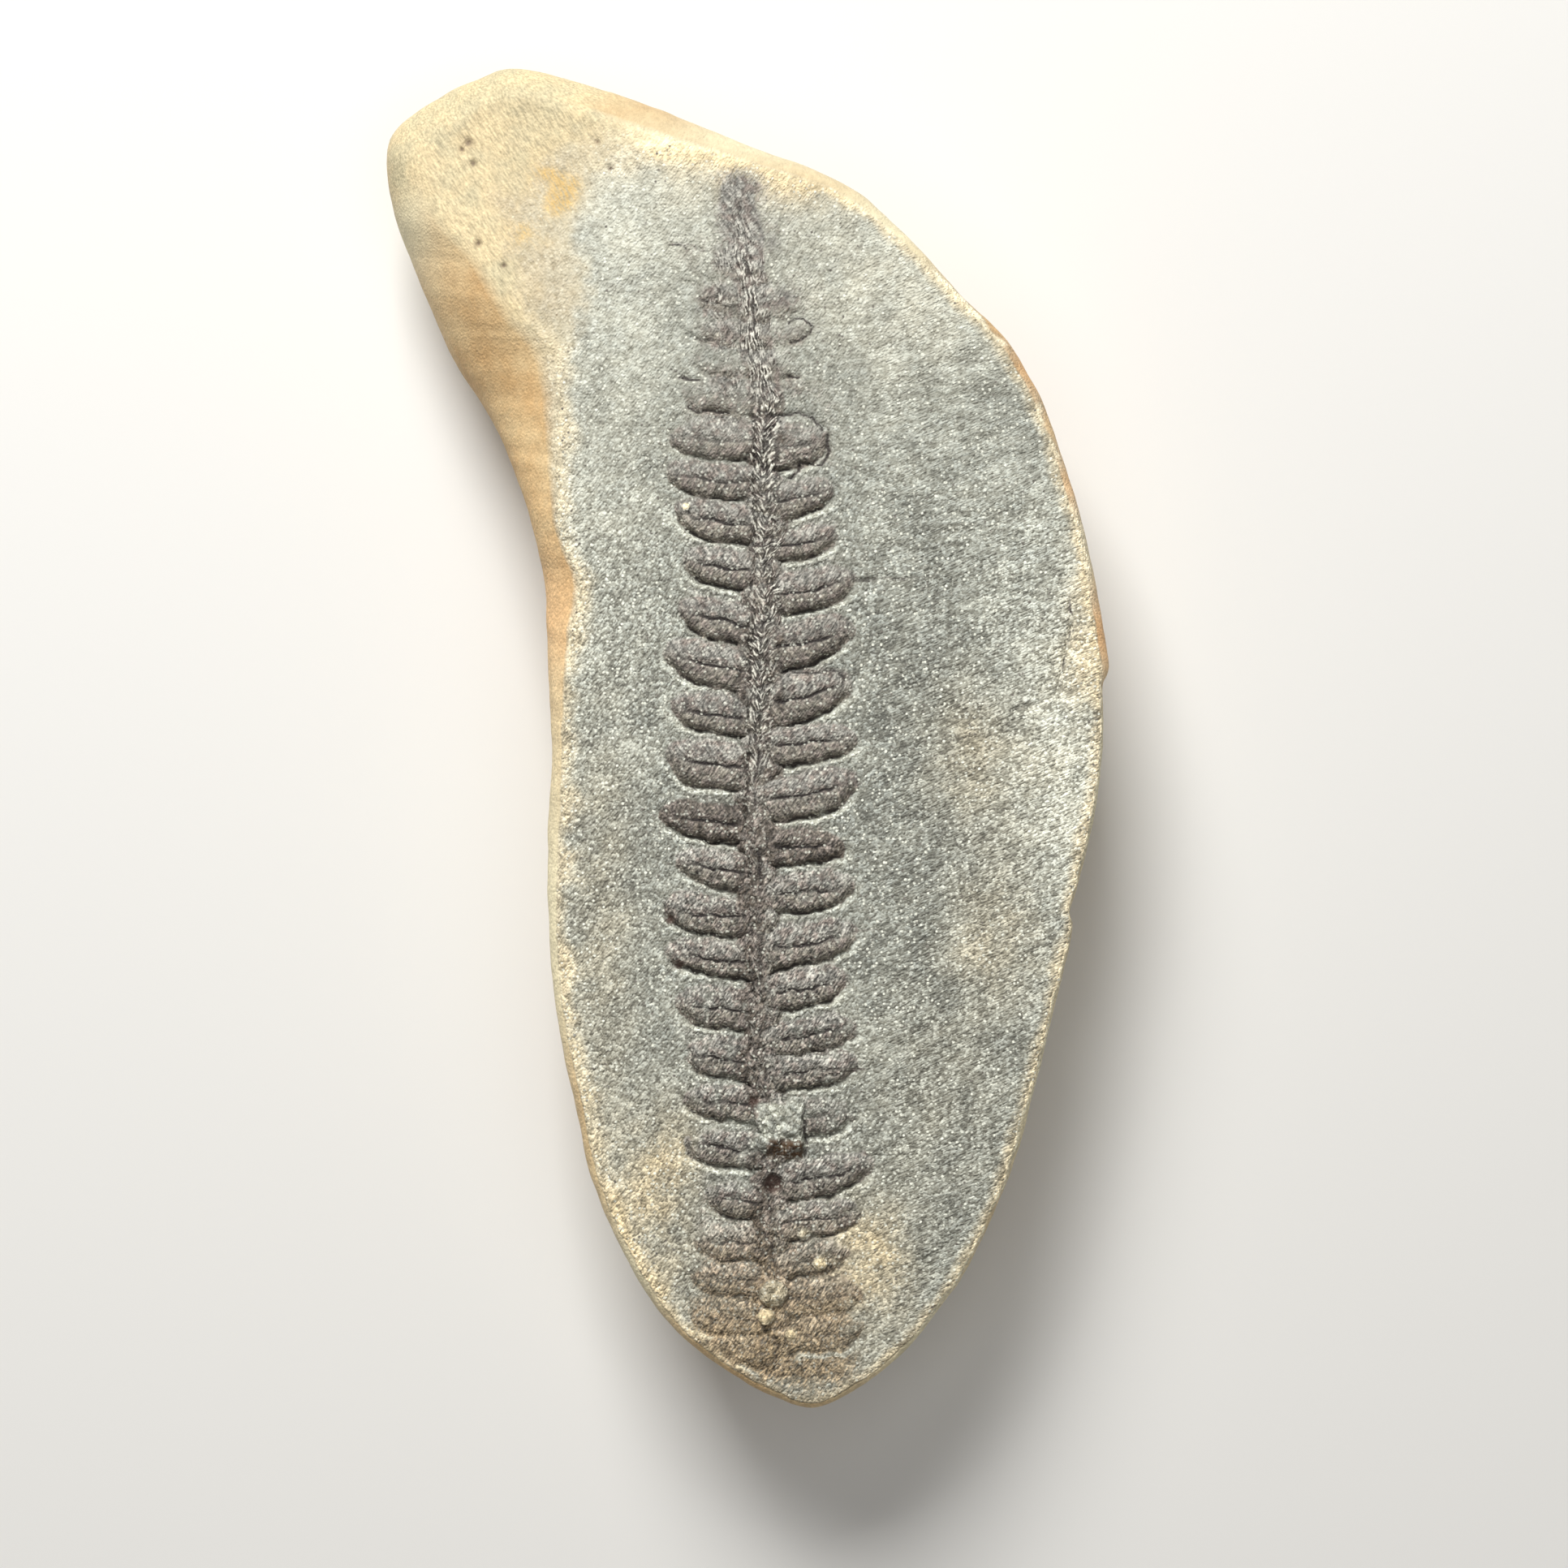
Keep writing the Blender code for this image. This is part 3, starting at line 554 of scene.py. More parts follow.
# points at equal steps along a closed smooth curve through the rows' first two numbers
def smoothLoop(rows, steps):
    rows = np.array(rows, float)
    fine = []
    for i in range(len(rows)):
        a, b, c, d = (rows[(i + k) % len(rows)] for k in (-1, 0, 1, 2))
        for t in np.linspace(0, 1, 24, endpoint=False):
            bend = (c - a) * t + (2 * a - 5 * b + 4 * c - d) * t**2 + (3 * b - a - 3 * c + d) * t**3
            fine.append(b + bend / 2)
    fine = np.array(fine)
    ahead = np.roll(fine, -1, axis=0)
    run = np.concatenate([[0], np.cumsum(np.hypot(*(ahead - fine)[:, :2].T))])
    wanted = np.linspace(0, run[-1], steps, endpoint=False)
    closed = np.vstack([fine, fine[:1]])
    return np.column_stack([np.interp(wanted, run, column) for column in closed.T])


def rachisX(y):
    stations, offsets = np.array(frond["rachis"][::-1]).T
    return np.interp(y, stations, offsets)


# height of the split face with no frond on it
def levelHeight(x, y):
    crownFall, crownReach, crownX = nodule["crown"]
    endsFall, endsReach = nodule["ends"]
    lobeFall, lobeReach, lobeX, lobeY = nodule["lobe"]
    crown = crownFall * ((x - crownX) / crownReach) ** 2
    ends = endsFall * (y / endsReach) ** 2
    lobe = lobeFall * ease(np.hypot(x - lobeX, y - lobeY), lobeReach, -lobeReach)
    return -crown - ends - lobe


# where each point lies in the nearest pinnule
def inPinnule(x, y):
    found = {name: np.zeros_like(x) for name in ("across", "along", "half", "tone", "reach")}
    at = np.full_like(x, np.inf)
    for side, rows in ((-1, frond["left"]), (1, frond["right"])):
        for baseY, reach, rise, width, tone in rows:
            half = width / 2 * frond["fullness"]
            along = side * (x - float(rachisX(baseY)))
            across = (y - baseY - rise * np.clip(along / reach, 0, 1) ** frond["turnUp"]) / half
            tip = half * frond["tipLength"]
            past = np.maximum(along - (reach - tip), 0) / tip
            behind = np.maximum(-along, 0) / half
            here = np.hypot(np.hypot(across, past), behind)
            closer = here < at
            at = np.where(closer, here, at)
            values = {"across": across, "along": along, "half": half, "tone": tone, "reach": reach}
            for name, value in values.items():
                found[name] = np.where(closer, value, found[name])
    found["at"] = at
    return found


# distance from each point to a line through a few points
def fromLine(x, y, line):
    away = np.full_like(x, np.inf)
    for (ax, ay), (bx, by) in zip(line, line[1:]):
        t = ((x - ax) * (bx - ax) + (y - ay) * (by - ay)) / ((bx - ax) ** 2 + (by - ay) ** 2)
        t = np.clip(t, 0, 1)
        away = np.minimum(away, np.hypot(x - ax - t * (bx - ax), y - ay - t * (by - ay)))
    return away


# the part of the lobe that broke off along its own rind: left of a line, and shading off
def lobeShare(x, y):
    line = np.interp(y, *np.array(nodule["lobeLine"]).T)
    ragged = mottled(x, y, nodule["lobeRagged"])
    near = ease(line - x + ragged, *nodule["lobeNear"])
    far = ease(line - x + 2 * ragged, *nodule["lobeFar"])
    return 0.5 * near + 0.5 * far


# the pinnules: low arches of two pillows each, with a crease round them and a lip below
def pressPinnules(x, y, pressedX, pressedY):
    f = frond
    p = inPinnule(pressedX, pressedY)
    outside = (p["at"] - 1) * p["half"]
    share = p["along"] / p["reach"]
    middle, slope = f["lowerHalf"]
    lower = smoothstep(middle + slope * p["across"] / np.maximum(p["at"], 0.2))
    middle, slope = f["upperHalf"]
    upper = smoothstep(middle + slope * p["across"])
    pastTip, tipFade = f["creaseTip"]
    lower = lower * (pastTip + (1 - pastTip) * ease(share, *tipFade))
    pale, more = f["creaseByTone"]
    depth = f["crease"][0] + f["crease"][1] * lower * (pale + more * p["tone"])
    depth = depth * uneven(x, y, *f["creasePatchy"])
    crease = depth * bell(outside, np.where(outside < 0, *f["creaseWidth"]))
    starts, stops = f["veinEnds"]
    veinReach = ease(share, *starts) * ease(share, *stops)
    veinHalf, veinDepth = f["vein"]
    vein = bell(p["across"] * p["half"], veinHalf) * veinReach
    archHigh, fullness = f["arch"]
    arch = archHigh * (1 - np.clip(p["at"], 0, 1) ** fullness)
    fromVein = np.abs(p["across"])
    split = np.where(fromVein < 0.5, veinReach, 1)
    pillowHigh, fullness = f["pillow"]
    pillow = pillowHigh * (1 - split * np.clip(np.abs(2 * fromVein - 1), 0, 1) ** fullness)
    pillow = pillow * ease(p["at"], *f["pillowEdge"])
    lipHigh, lipOff, lipHalf = f["lip"]
    lip = lower * bell(outside - lipOff, lipHalf)
    p.update(outside=outside, lower=lower, upper=upper, crease=crease, veinReach=veinReach, lip=lip)
    p["relief"] = arch + pillow - crease - veinDepth * vein + lipHigh * lip
    return p


# the rachis, a rough rib with fibres that fan out from it to both sides
def pressRachis(x, y, pressedX, pressedY):
    f = frond
    signed = pressedX - rachisX(pressedY)
    off = np.abs(signed)
    top, bottom = f["rachis"][0][0], f["rachis"][-1][0]
    onFrond = ease(y, top, -f["rachisEnds"]) * ease(y, bottom, f["rachisEnds"])
    rib, reach = f["rachisRib"], f["rachisReach"]
    ribHigh = f["rachisRibHeight"] + f["rachisGroove"]
    channel = ribHigh * ease(off, rib, -rib) - f["rachisGroove"]
    heights, shares = np.array(f["fibresAlong"][::-1]).T
    lively = np.interp(y, heights, shares)
    weight = ease(off, reach, rib - reach) * onFrond
    weight = weight * (f["rachisLeast"] + (1 - f["rachisLeast"]) * lively)

    steep, flat, reach = f["fan"]
    flow = pressedY - flat * off - (steep - flat) * reach * (1 - np.exp(-off / reach))
    flow = flow + f["fanWaver"][0] * ripple(x, y, f["fanWaver"][1], 14.4)
    strand = ease(y, *f["strandsAbove"])
    high, across, along = f["fibre"]
    strandHigh, strandLong, closer = f["strands"]
    fanned = ripple(signed / along, flow / across, 1.0, 12.9)
    upward = strandHigh * ripple(signed / across, y / (strandLong * along), 1.0, 15.2)
    fibres = fanned * (1 - strand) + upward * strand
    reach, fade = f["fibreReach"]
    stray, size = f["fibreStray"]
    reach = reach * (1 - closer * strand) + stray * ripple(x, y, size, 17.0)
    fibreShare = ease(off - reach, fade, -fade) * lively * uneven(x, y, *f["fibrePatchy"])
    leftEdge, rightEdge, below, looseShare = f["loose"]
    loose = ease(signed, *leftEdge) * ease(signed, *rightEdge) * ease(y, *below)
    loose = loose * strand * uneven(x, y, *f["loosePatchy"])
    fibreShare = np.maximum(fibreShare, looseShare * loose)
    midHalf, midDepth = f["midline"]
    midline = bell(off, midHalf) * smoothstep(uneven(x, y, *f["midlinePatchy"]))
    return {
        "signed": signed,
        "off": off,
        "onFrond": onFrond,
        "channel": channel,
        "weight": weight,
        "flow": flow,
        "strand": strand,
        "fibreShare": fibreShare,
        "midline": midline,
        "relief": (high * fibres * fibreShare - midDepth * midline) * onFrond,
    }


# the knobs and pits on the frond, and the mineral cap: height, how bare of film, pit darkness (own
# colour and painted shade), glassy
def addMinerals(x, y, pressedX, pressedY, z):
    f = frond
    bare, pit = np.zeros_like(x), np.zeros_like(x)
    for knobX, knobY, radius, rise, bareness in f["knobs"]:
        away = np.hypot(x - knobX, y - knobY) / radius
        hollowed = ease(away, *f["pitEdge"])
        dome = np.sqrt(np.clip(1 - away**2, 0, 1))
        z = z + rise * (dome if rise > 0 else hollowed)
        bare = np.maximum(bare, np.minimum(1, f["knobBare"] * dome) * bareness)
        pit = np.maximum(pit, f["pitDark"] * hollowed * (rise < 0))
    cap = f["cap"]
    sides = ease(pressedX, *cap["left"]) * ease(x, *cap["right"])
    inCap = sides * ease(pressedY, *cap["front"]) * ease(pressedY, *cap["top"])
    high, atTop = cap["height"]
    z = z + high * inCap * (atTop + (1 - atTop) * ease(pressedY, *cap["slope"]))
    glassy = ease(pressedY, *cap["glassyFrom"]) * ease(pressedY, *cap["glassyTo"])
    glassy = glassy * sides * ease(x, *cap["glassyRight"])
    bare = np.maximum(bare, inCap * (1 - glassy))
    z = z + ripples(x, y, cap["grain"], 27.0) * np.maximum(bare, inCap)
    highest, margin = f["highest"]
    rounded = highest - margin * np.exp(1 - (z - highest + 2 * margin) / margin)
    z = np.where(z > highest - margin, rounded, z)
    return z, {"bare": bare, "pit": pit, "inCap": inCap, "glassy": glassy}


# how far the plant's film covers the stone
def coverWithFilm(x, y, p, r, bare, rougher, top, bottom, smeared):
    f = frond
    onLower, moreOnUpper = f["edgeSoft"]
    edge = onLower + moreOnUpper * p["upper"]
    film = ease(p["outside"] + 0.5 * edge, edge, -edge) * (1 - f["thinAbove"] * p["upper"])
    leastTop, leastBottom = f["thinnest"]
    film = film * (leastTop + (1 - leastTop) * top) * (leastBottom + (1 - leastBottom) * bottom)
    film = film * (1 - f["worn"] * rougher * smoothstep(uneven(x, y, *f["wornPatchy"])))
    pale, more = f["filmByTone"]
    film = film * np.clip(pale + more * p["tone"], 0, 1)
    share, outTo = f["between"]
    between = share * ease(r["off"], *outTo) * (0.5 + 0.5 * top) * r["onFrond"]
    share, outTo = f["betweenLow"]
    between = between + share * (1 - bottom) * ease(r["off"], *outTo)
    film = np.maximum(film, between * (1 - p["lip"]))
    film = np.maximum(film, ease(r["off"], *f["onRachis"]) * r["onFrond"])
    film = np.maximum(film, f["smearGain"] * smeared)
    return film * (1 - bare)


# height of the split face, and what its material needs to know at each point
def pressFace(x, y, toRim):
    f, n = frond, nodule
    rougher = ease(y, *f["rougherBelow"])
    stray, size, moreWrinkled = f["rougher"]
    pressedX = x + ripples(x, y, f["waver"], 3.1) + stray * rougher * ripple(x, y, size, 4.1)
    pressedY = y + ripples(x, y, f["waver"], 41.7) + stray * rougher * ripple(x, y, size, 42.7)
    p = pressPinnules(x, y, pressedX, pressedY)
    r = pressRachis(x, y, pressedX, pressedY)
    # each single fold's groove, and the share of painted shade it gets in the colour
    foldShade, folded = np.zeros_like(x), np.zeros_like(x)
    for high, half, line in f["folds"]:
        groove = bell(fromLine(pressedX, pressedY, line), half)
        folded = np.maximum(folded, high * groove)
        foldShade = np.maximum(foldShade, groove * min(1, high / f["foldFull"]))
    top, bottom = ease(y, *f["topFade"]), ease(y, *f["bottomFade"])
    faintTop, faintBottom = f["faintest"]
    strength = (faintTop + (1 - faintTop) * top) * (faintBottom + (1 - faintBottom) * bottom)
    relief = p["relief"] + (r["channel"] - p["relief"]) * r["weight"]
    z = levelHeight(x, y) + relief * strength + r["relief"] - folded
    z, minerals = addMinerals(x, y, pressedX, pressedY, z)
    bare, pit = minerals["bare"], minerals["pit"]
    smeared = np.zeros_like(x)
    for row in f["smears"]:
        smeared = np.maximum(smeared, row[4] * patch(pressedX, pressedY, row))
    film = coverWithFilm(x, y, p, r, bare, rougher, top, bottom, smeared)

    # the plain stone's uneven surface
    plain = 1 - film
    under = n["swellsUnderFilm"]
    z = z + ripples(x, y, n["faceSwells"], 21.4) * (under + (1 - under) * plain)
    more, least, below = f["rumpled"]
    rumpled = more * ease(y, *below) + least
    wrinkled = 1 + moreWrinkled * rougher + rumpled * smeared
    z = z + ripples(x, y, f["wrinkles"], 24.4) * film * wrinkled
    onLobe = lobeShare(x, y)
    pitDepth, pitDark = n["lobePitDepth"]
    for pitX, pitY, radius in n["lobePits"]:
        hole = patch(x, y, (pitX, pitY, radius, radius))
        z = z - pitDepth * hole
        pit = np.maximum(pit, pitDark * hole)
    z = z + grain(x, y, n["lobeGrain"], 31.0) * onLobe
    above = ease(y, *n["grainTurns"])
    swells = [grain(x, y, row, 33.0 + k) for k, row in enumerate(n["rightGrain"])]
    z = z + (swells[0] * above + swells[1] * (1 - above)) * ease(x, *n["rightFrom"]) * plain
    z = z + grain(x, y, n["leftGrain"], 36.0) * ease(x, *n["leftFrom"]) * plain
    stray, size = n["scarStray"]
    strayX = x + stray * ripple(x, y, size, 61.0)
    strayY = y + stray * ripple(x, y, size, 62.0)
    patchy = uneven(x, y, *n["scarPatchy"])
    for ax, ay, bx, by, width, rise in n["scars"]:
        mark = patchy * bell(fromLine(strayX, strayY, [(ax, ay), (bx, by)]), width)
        z = z + rise * mark
        film = film * (1 - n["scarBare"] * mark * (rise > 0))
        # a sunken scar gets painted shade in the colour
        foldShade = np.maximum(foldShade, n["scarShade"] * mark * (rise < 0))

    # colour: how pale, creamy or ochre the stone is, and how dark the film
    paler, creamier = np.zeros_like(x), np.zeros_like(x)
    for row in n["stains"]:
        here = patch(x, y, row)
        paler, creamier = paler + row[4] * here, creamier + row[5] * here
    mottle = mottled(x, y, n["mottle"])
    leftSide = ease(x, *n["leftSide"])
    rimShare, moreLeft, rimReach = n["rimPaler"]
    # painted highlight: the stone lip below each pinnule is paler where it faces the lamp
    paler = paler + n["lipHighlight"] * p["lip"] * strength + n["mottlePaler"] * mottle
    paler = paler + (rimShare + moreLeft * leftSide) * ease(toRim, rimReach, -rimReach)
    swing, size, always = f["cap"]["mottle"]
    paler = paler + (swing * ripple(x, y, size, 92.0) + always) * minerals["inCap"]
    rimReach, moreLeft, share, ragged = n["rimCreamier"]
    rimCream = smoothstep(1.0 - toRim / (rimReach + moreLeft * leftSide) + ragged * mottle)
    creamier = creamier * (1 + n["mottleCreamier"] * mottle) + share * rimCream
    ochre = sum(patch(x, y, row) for row in n["ochre"])
    lowDown, outTo, notRight, darkest = f["rachisDark"]
    dark = ease(y, *lowDown) * ease(r["off"], *outTo) * ease(r["signed"], *notRight) * r["onFrond"]
    tone = np.maximum(p["tone"] + (darkest - p["tone"]) * dark, f["smearDark"] * smeared)
    starts, stops, notRight, share = f["beside"]
    beside = ease(r["off"], *starts) * ease(r["off"], *stops)
    beside = beside * (1 - ease(y, *notRight) * (r["signed"] > 0))
    tone = tone + share * beside * smoothstep(uneven(x, y, *f["besidePatchy"]))
    # painted shade in the colour: the crease along a pinnule's lower edge, then the folds and sunken
    # scars
    crease = p["crease"] / f["creaseFull"] * p["lower"] * strength
    crease = crease * uneven(x, y, *f["foldPatchy"])
    brownish, below = f["brownBelow"]
    rind = np.maximum(onLobe, np.minimum(n["ochreMost"], ochre))
    return z, {
        "film": np.maximum(film, f["foldFilm"] * foldShade),
        "tone": tone,
        "rough": rougher,
        "crease": np.clip(np.maximum(crease, foldShade), 0, 1),
        "veinShare": p["veinReach"] * strength,
        "upper": p["upper"],
        "ribs": p["along"] - f["ribSlant"] * np.abs(p["across"]) * p["half"],
        "across": p["across"] * p["half"],
        "rachisAway": r["signed"],
        "flow": r["flow"],
        "strand": r["strand"],
        "fibres": r["fibreShare"] * r["onFrond"] * (1 - bare),
        "midline": r["midline"] * r["onFrond"] * (1 - bare),
        "pit": pit,
        "glassy": minerals["glassy"],
        "brownish": brownish * ease(y, *below),
        "dim": np.zeros_like(x),
        "paler": paler,
        "creamier": creamier,
        "lobe": rind,
        "rind": rind,
        "rust": np.zeros_like(x),
        "ochre": ochre,
    }


def nearestOnSpine(points):
    best = np.full(len(points), np.inf)
    found = np.zeros_like(points)
    spine = np.array(nodule["spine"], float)
    for a, b in zip(spine[:-1], spine[1:]):
        t = np.clip((points - a) @ (b - a) / ((b - a) @ (b - a)), 0, 1)
        on = a + t[:, None] * (b - a)
        away = np.linalg.norm(points - on, axis=1)
        found[away < best] = on[away < best]
        best = np.minimum(best, away)
    return found


# rows of points on a triangular lattice that follows the rachis
def lattice(step, low, high):
    for row, y in enumerate(np.arange(low[1], high[1], step * math.sqrt(3) / 2)):
        for off in np.arange(low[0] + step / 2 * (row % 2), high[0], step):
            yield off, y


# points across each scar and round each pit of the lobe
def finePoints():
    for ax, ay, bx, by, width, _ in nodule["scars"]:
        length = math.hypot(bx - ax, by - ay)
        for t in np.linspace(0, 1, int(length / nodule["scarStep"]) + 1):
            for side in (-2, -1, 0, 1, 2):
                off = side * width / length
                yield ax + t * (bx - ax) + off * (by - ay), ay + t * (by - ay) - off * (bx - ax)
    for pitX, pitY, radius in nodule["lobePits"]:
        for reach in (0, 0.5, 1, 1.6):
            for turn in np.arange(0, 2 * math.pi, math.pi / 4):
                out = reach * radius
                yield pitX + out * math.cos(turn), pitY + out * math.sin(turn)


# the split face: its edge, then points close together where the relief is fine
def layFace(edge):
    tree = kdtree.KDTree(len(edge))
    for i, point in enumerate(edge):
        tree.insert((*point, 0), i)
    tree.balance()
    points = [tuple(point) for point in edge]
    points += [p for p in finePoints() if tree.find((*p, 0))[2] > nodule["rimGap"]]
    low, high = edge.min(axis=0), edge.max(axis=0)
    inner = None  # the finer lattice inside this one: reach, lowest, highest
    for step, reach, lowest, highest in (
        frond["rachisMesh"],
        frond["pinnuleMesh"],
        (nodule["stoneStep"], high[0] - low[0], low[1], high[1]),
    ):
        gap = 0.3 * step
        for off, y in lattice(step, (-reach, lowest), (reach, highest)):
            if inner and abs(off) < inner[0] + gap and inner[1] - gap < y < inner[2] + gap:
                continue
            x = off + float(rachisX(y))
            if tree.find((x, y, 0))[2] > nodule["rimGap"]:
                points.append((x, y))
        inner = (reach, lowest, highest)
    ring = list(range(len(edge)))
    flat, _, faces, origins, _, _ = delaunay_2d_cdt(
        [Vector(point) for point in points], [], [ring], 1, 1e-6
    )
    used = sorted({i for face in faces for i in face})
    renumbered = {old: new for new, old in enumerate(used)}
    onEdge = [0] * len(edge)
    for i in used:
        for source in origins[i]:
            if source < len(edge):
                onEdge[source] = renumbered[i]
    flat = np.array([flat[i] for i in used])
    faces = np.array([[renumbered[i] for i in face] for face in faces])
    a, b, c = (flat[faces[:, k]] for k in range(3))
    turn = (b - a)[:, 0] * (c - a)[:, 1] - (b - a)[:, 1] * (c - a)[:, 0]
    faces[turn < 0] = faces[turn < 0][:, ::-1]
    toRim = np.array([tree.find((x, y, 0))[2] for x, y in flat])
    return flat, faces, onEdge, toRim


# rings of points out from the face's edge to the widest outline, then in and down to the flat
def layBack(edge, edgeZ, outline):
    n = nodule
    standsOut = np.linalg.norm(outline - edge, axis=1)
    least, share, most = n["shoulder"]
    fall = np.minimum(least + share * standsOut, most)
    soft, sharp = n["edgeBreak"]
    start = soft + (sharp - soft) * ease(standsOut, 0, n["edgeBreakAt"])
    for k in range(1, n["shoulderRings"] + 1):
        share = k / n["shoulderRings"]
        angle = start + (math.pi / 2 - start) * share
        out = (np.sin(angle) - np.sin(start)) / (1 - np.sin(start))
        down = edgeZ - fall * (1 - np.cos(angle) / np.cos(start))
        place = np.column_stack([edge + (outline - edge) * out[:, None], down])
        yield place, edge + (outline - edge) * share
    widestZ = edgeZ - fall
    base = nearestOnSpine(outline)
    base = base + n["baseShare"] * (outline - base)
    floor = -n["thickness"]
    for k in range(1, n["backRings"] + 1):
        share = k / n["backRings"]
        angle = math.pi / 2 * share
        at = outline + (base - outline) * (1 - math.cos(angle))
        x, y = at.T
        waves = sum(share * np.sin(u * x + v * y + begin) for u, v, begin, share in n["backWaves"])
        down = widestZ + (floor - widestZ) * math.sin(angle)
        down = np.maximum(down + n["backSwell"] * waves * math.sin(math.pi * share), floor)
        if k == n["backRings"]:
            down = np.full(len(edge), floor)
        yield np.column_stack([at, down]), outline + (base - outline) * share


# what the material needs to know on the skin; rings counts from the face's edge
def skinFields(x, y, rings):
    n = nodule
    rust = sum(row[4] * patch(x, y, row) for row in n["rust"])
    stray, size = n["rimStray"]
    down = rings / n["shoulderRings"] + stray * ripple(x, y, size, 66.0)
    stony = ease(x, *n["rimStoneFrom"]) * ease(down, *n["rimStoneDown"])
    stony = stony * (1 - np.minimum(1, n["rustOverStone"] * rust))
    bare = sum(patch(x, y, row) for row in n["bare"])
    slope, place, stretch = n["lobeOverRim"]
    dimX, dimY = n["paintedShadeAbove"]
    return {
        "rind": 1 - stony,
        "creamier": n["stoneCreamier"] * stony,
        "paler": np.where(stony > 0.5, n["stonePaler"], bare),
        "rust": rust,
        "lobe": lobeShare(x, y) * ease(y + slope * x, place, stretch),
        "dim": ease(x, *dimX) * ease(y, *dimY),
        "tone": np.full_like(x, 0.5),
        "rachisAway": np.full_like(x, 30.0),  # far from any fibre
    }


def buildNodule():
    n = nodule
    steps = n["rimSteps"]
    rim = smoothLoop(n["rim"], steps)
    outline, edge = rim[:, :2], rim[:, 2:]
    outward = (outline - edge) / np.linalg.norm(outline - edge, axis=1)[:, None]
    edge = edge + outward * ripples(*edge.T, n["brokenEdge"], 61.0)[:, None]
    outline = outline + outward * ripples(*outline.T, n["outlineWaver"], 62.0)[:, None]

    flat, faces, onEdge, toRim = layFace(edge)
    z, fields = pressFace(*flat.T, toRim)
    print("split face:", len(flat), "points,", len(faces), "triangles")
    back = list(layBack(edge, z[onEdge], outline))
    places = np.vstack([np.column_stack([flat, z])] + [place for place, _ in back])
    maps = np.vstack([flat] + [flatPlace for _, flatPlace in back])
    rings = [np.array(onEdge)]
    rings += [len(flat) + k * steps + np.arange(steps) for k in range(len(back))]
    bands = []
    for upper, lower in zip(rings, rings[1:]):
        bands += np.column_stack([upper, np.roll(upper, -1), np.roll(lower, -1), lower]).tolist()
    mesh = bpy.data.meshes.new(n["name"])
    mesh.from_pydata(places.tolist(), [], faces.tolist() + bands + [rings[-1].tolist()])
    mesh.update()

    # small swells of the skin, none on the face or on the flat that it lies on
    floor = -n["thickness"]
    normals = np.array([vertex.normal for vertex in mesh.vertices])
    ringOf = np.repeat(np.arange(1, len(back) + 1), steps) / len(back)
    depth = np.concatenate([np.zeros(len(flat)), ringOf])
    fade = ease(depth, 0, 0.1) * ease(depth, 1, -0.1)
    swells = np.zeros(len(places))
    for high, size in n["skinSwells"]:
        swells += [high * noise.noise(Vector(place) / size) for place in places]
    places = places + normals * (swells * fade)[:, None]
    places[:, 2] = np.maximum(places[:, 2], floor)
    print("skin:", len(back), "rings of", steps, "points")

    skinX, skinY = places[len(flat):, 0], places[len(flat):, 1]
    onSkin = skinFields(skinX, skinY, ringOf * len(back))
    for name, values in fields.items():
        more = onSkin.get(name, np.zeros_like(skinX))
        attribute = mesh.attributes.new(name, "FLOAT", "POINT")
        attribute.data.foreach_set("value", np.concatenate([values, more]).astype(np.float32))
    addMaps(mesh, maps, len(faces) + steps * n["shoulderRings"])

    solid = smoothLoop(n["rim"], n["solidRimSteps"])[:, :2]
    low, high = (np.array(corner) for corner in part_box("nodule"))
    middle = (solid.min(axis=0) + solid.max(axis=0)) / 2
    places[:, :2] = (places[:, :2] - middle) * mm + (low + high)[:2] / 2
    places[:, 2] = (places[:, 2] - floor) * mm + low[2]
    mesh.vertices.foreach_set("co", places.astype(np.float32).ravel())
    mesh.shade_smooth()
    mesh.update()
    print("nodule:", len(mesh.vertices), "points,", len(mesh.polygons), "faces")
    piece = bpy.data.objects.new(n["name"], mesh)
    bpy.context.scene.collection.objects.link(piece)
    return piece


# a map of the surface: the face and shoulder from above on the left, the back on the right
def addMaps(mesh, maps, topFaces):
    low, high = maps.min(axis=0), maps.max(axis=0)
    gap = 2.0
    side = 2 * (high[0] - low[0]) + 3 * gap
    shown = (maps - low + gap) / side
    loops = np.zeros(len(mesh.loops), int)
    mesh.loops.foreach_get("vertex_index", loops)
    sizes = np.array([polygon.loop_total for polygon in mesh.polygons])
    onTop = np.repeat(np.arange(len(sizes)) < topFaces, sizes)
    uv = shown[loops]
    uv[:, 0] = np.where(onTop, uv[:, 0], 1 - uv[:, 0])
    layer = mesh.uv_layers.new(name="OFBake")
    layer.data.foreach_set("uv", uv.astype(np.float32).ravel())


def linear(code):
    channels = [int(code[i : i + 2], 16) / 255 for i in (0, 2, 4)]
    curved = [c / 12.92 if c <= 0.04045 else ((c + 0.055) / 1.055) ** 2.4 for c in channels]
    return (*curved, 1.0)


# one node with its settings, and what goes into its sockets in their order, or by their
# names: a value, or the node or socket that feeds it
def addNode(tree, kind, settings={}, inputs=()):
    node = tree.nodes.new("ShaderNode" + kind)
    for name, value in settings.items():
        setattr(node, name, value)
    sockets = [socket for socket in node.inputs if socket.enabled]
    for key, value in inputs.items() if isinstance(inputs, dict) else enumerate(inputs):
        socket = sockets[key] if isinstance(key, int) else next(s for s in sockets if s.name == key)
        if isinstance(value, bpy.types.Node):
            value = next(output for output in value.outputs if output.enabled)
        if isinstance(value, bpy.types.NodeSocket):
            tree.links.new(value, socket)
        else:
            socket.default_value = value
    return node


soft = {"interpolation_type": "SMOOTHSTEP"}
colours = {"data_type": "RGBA"}
times = {"operation": "MULTIPLY"}
timesPlus = {"operation": "MULTIPLY_ADD"}
scaled = {"operation": "SCALE"}
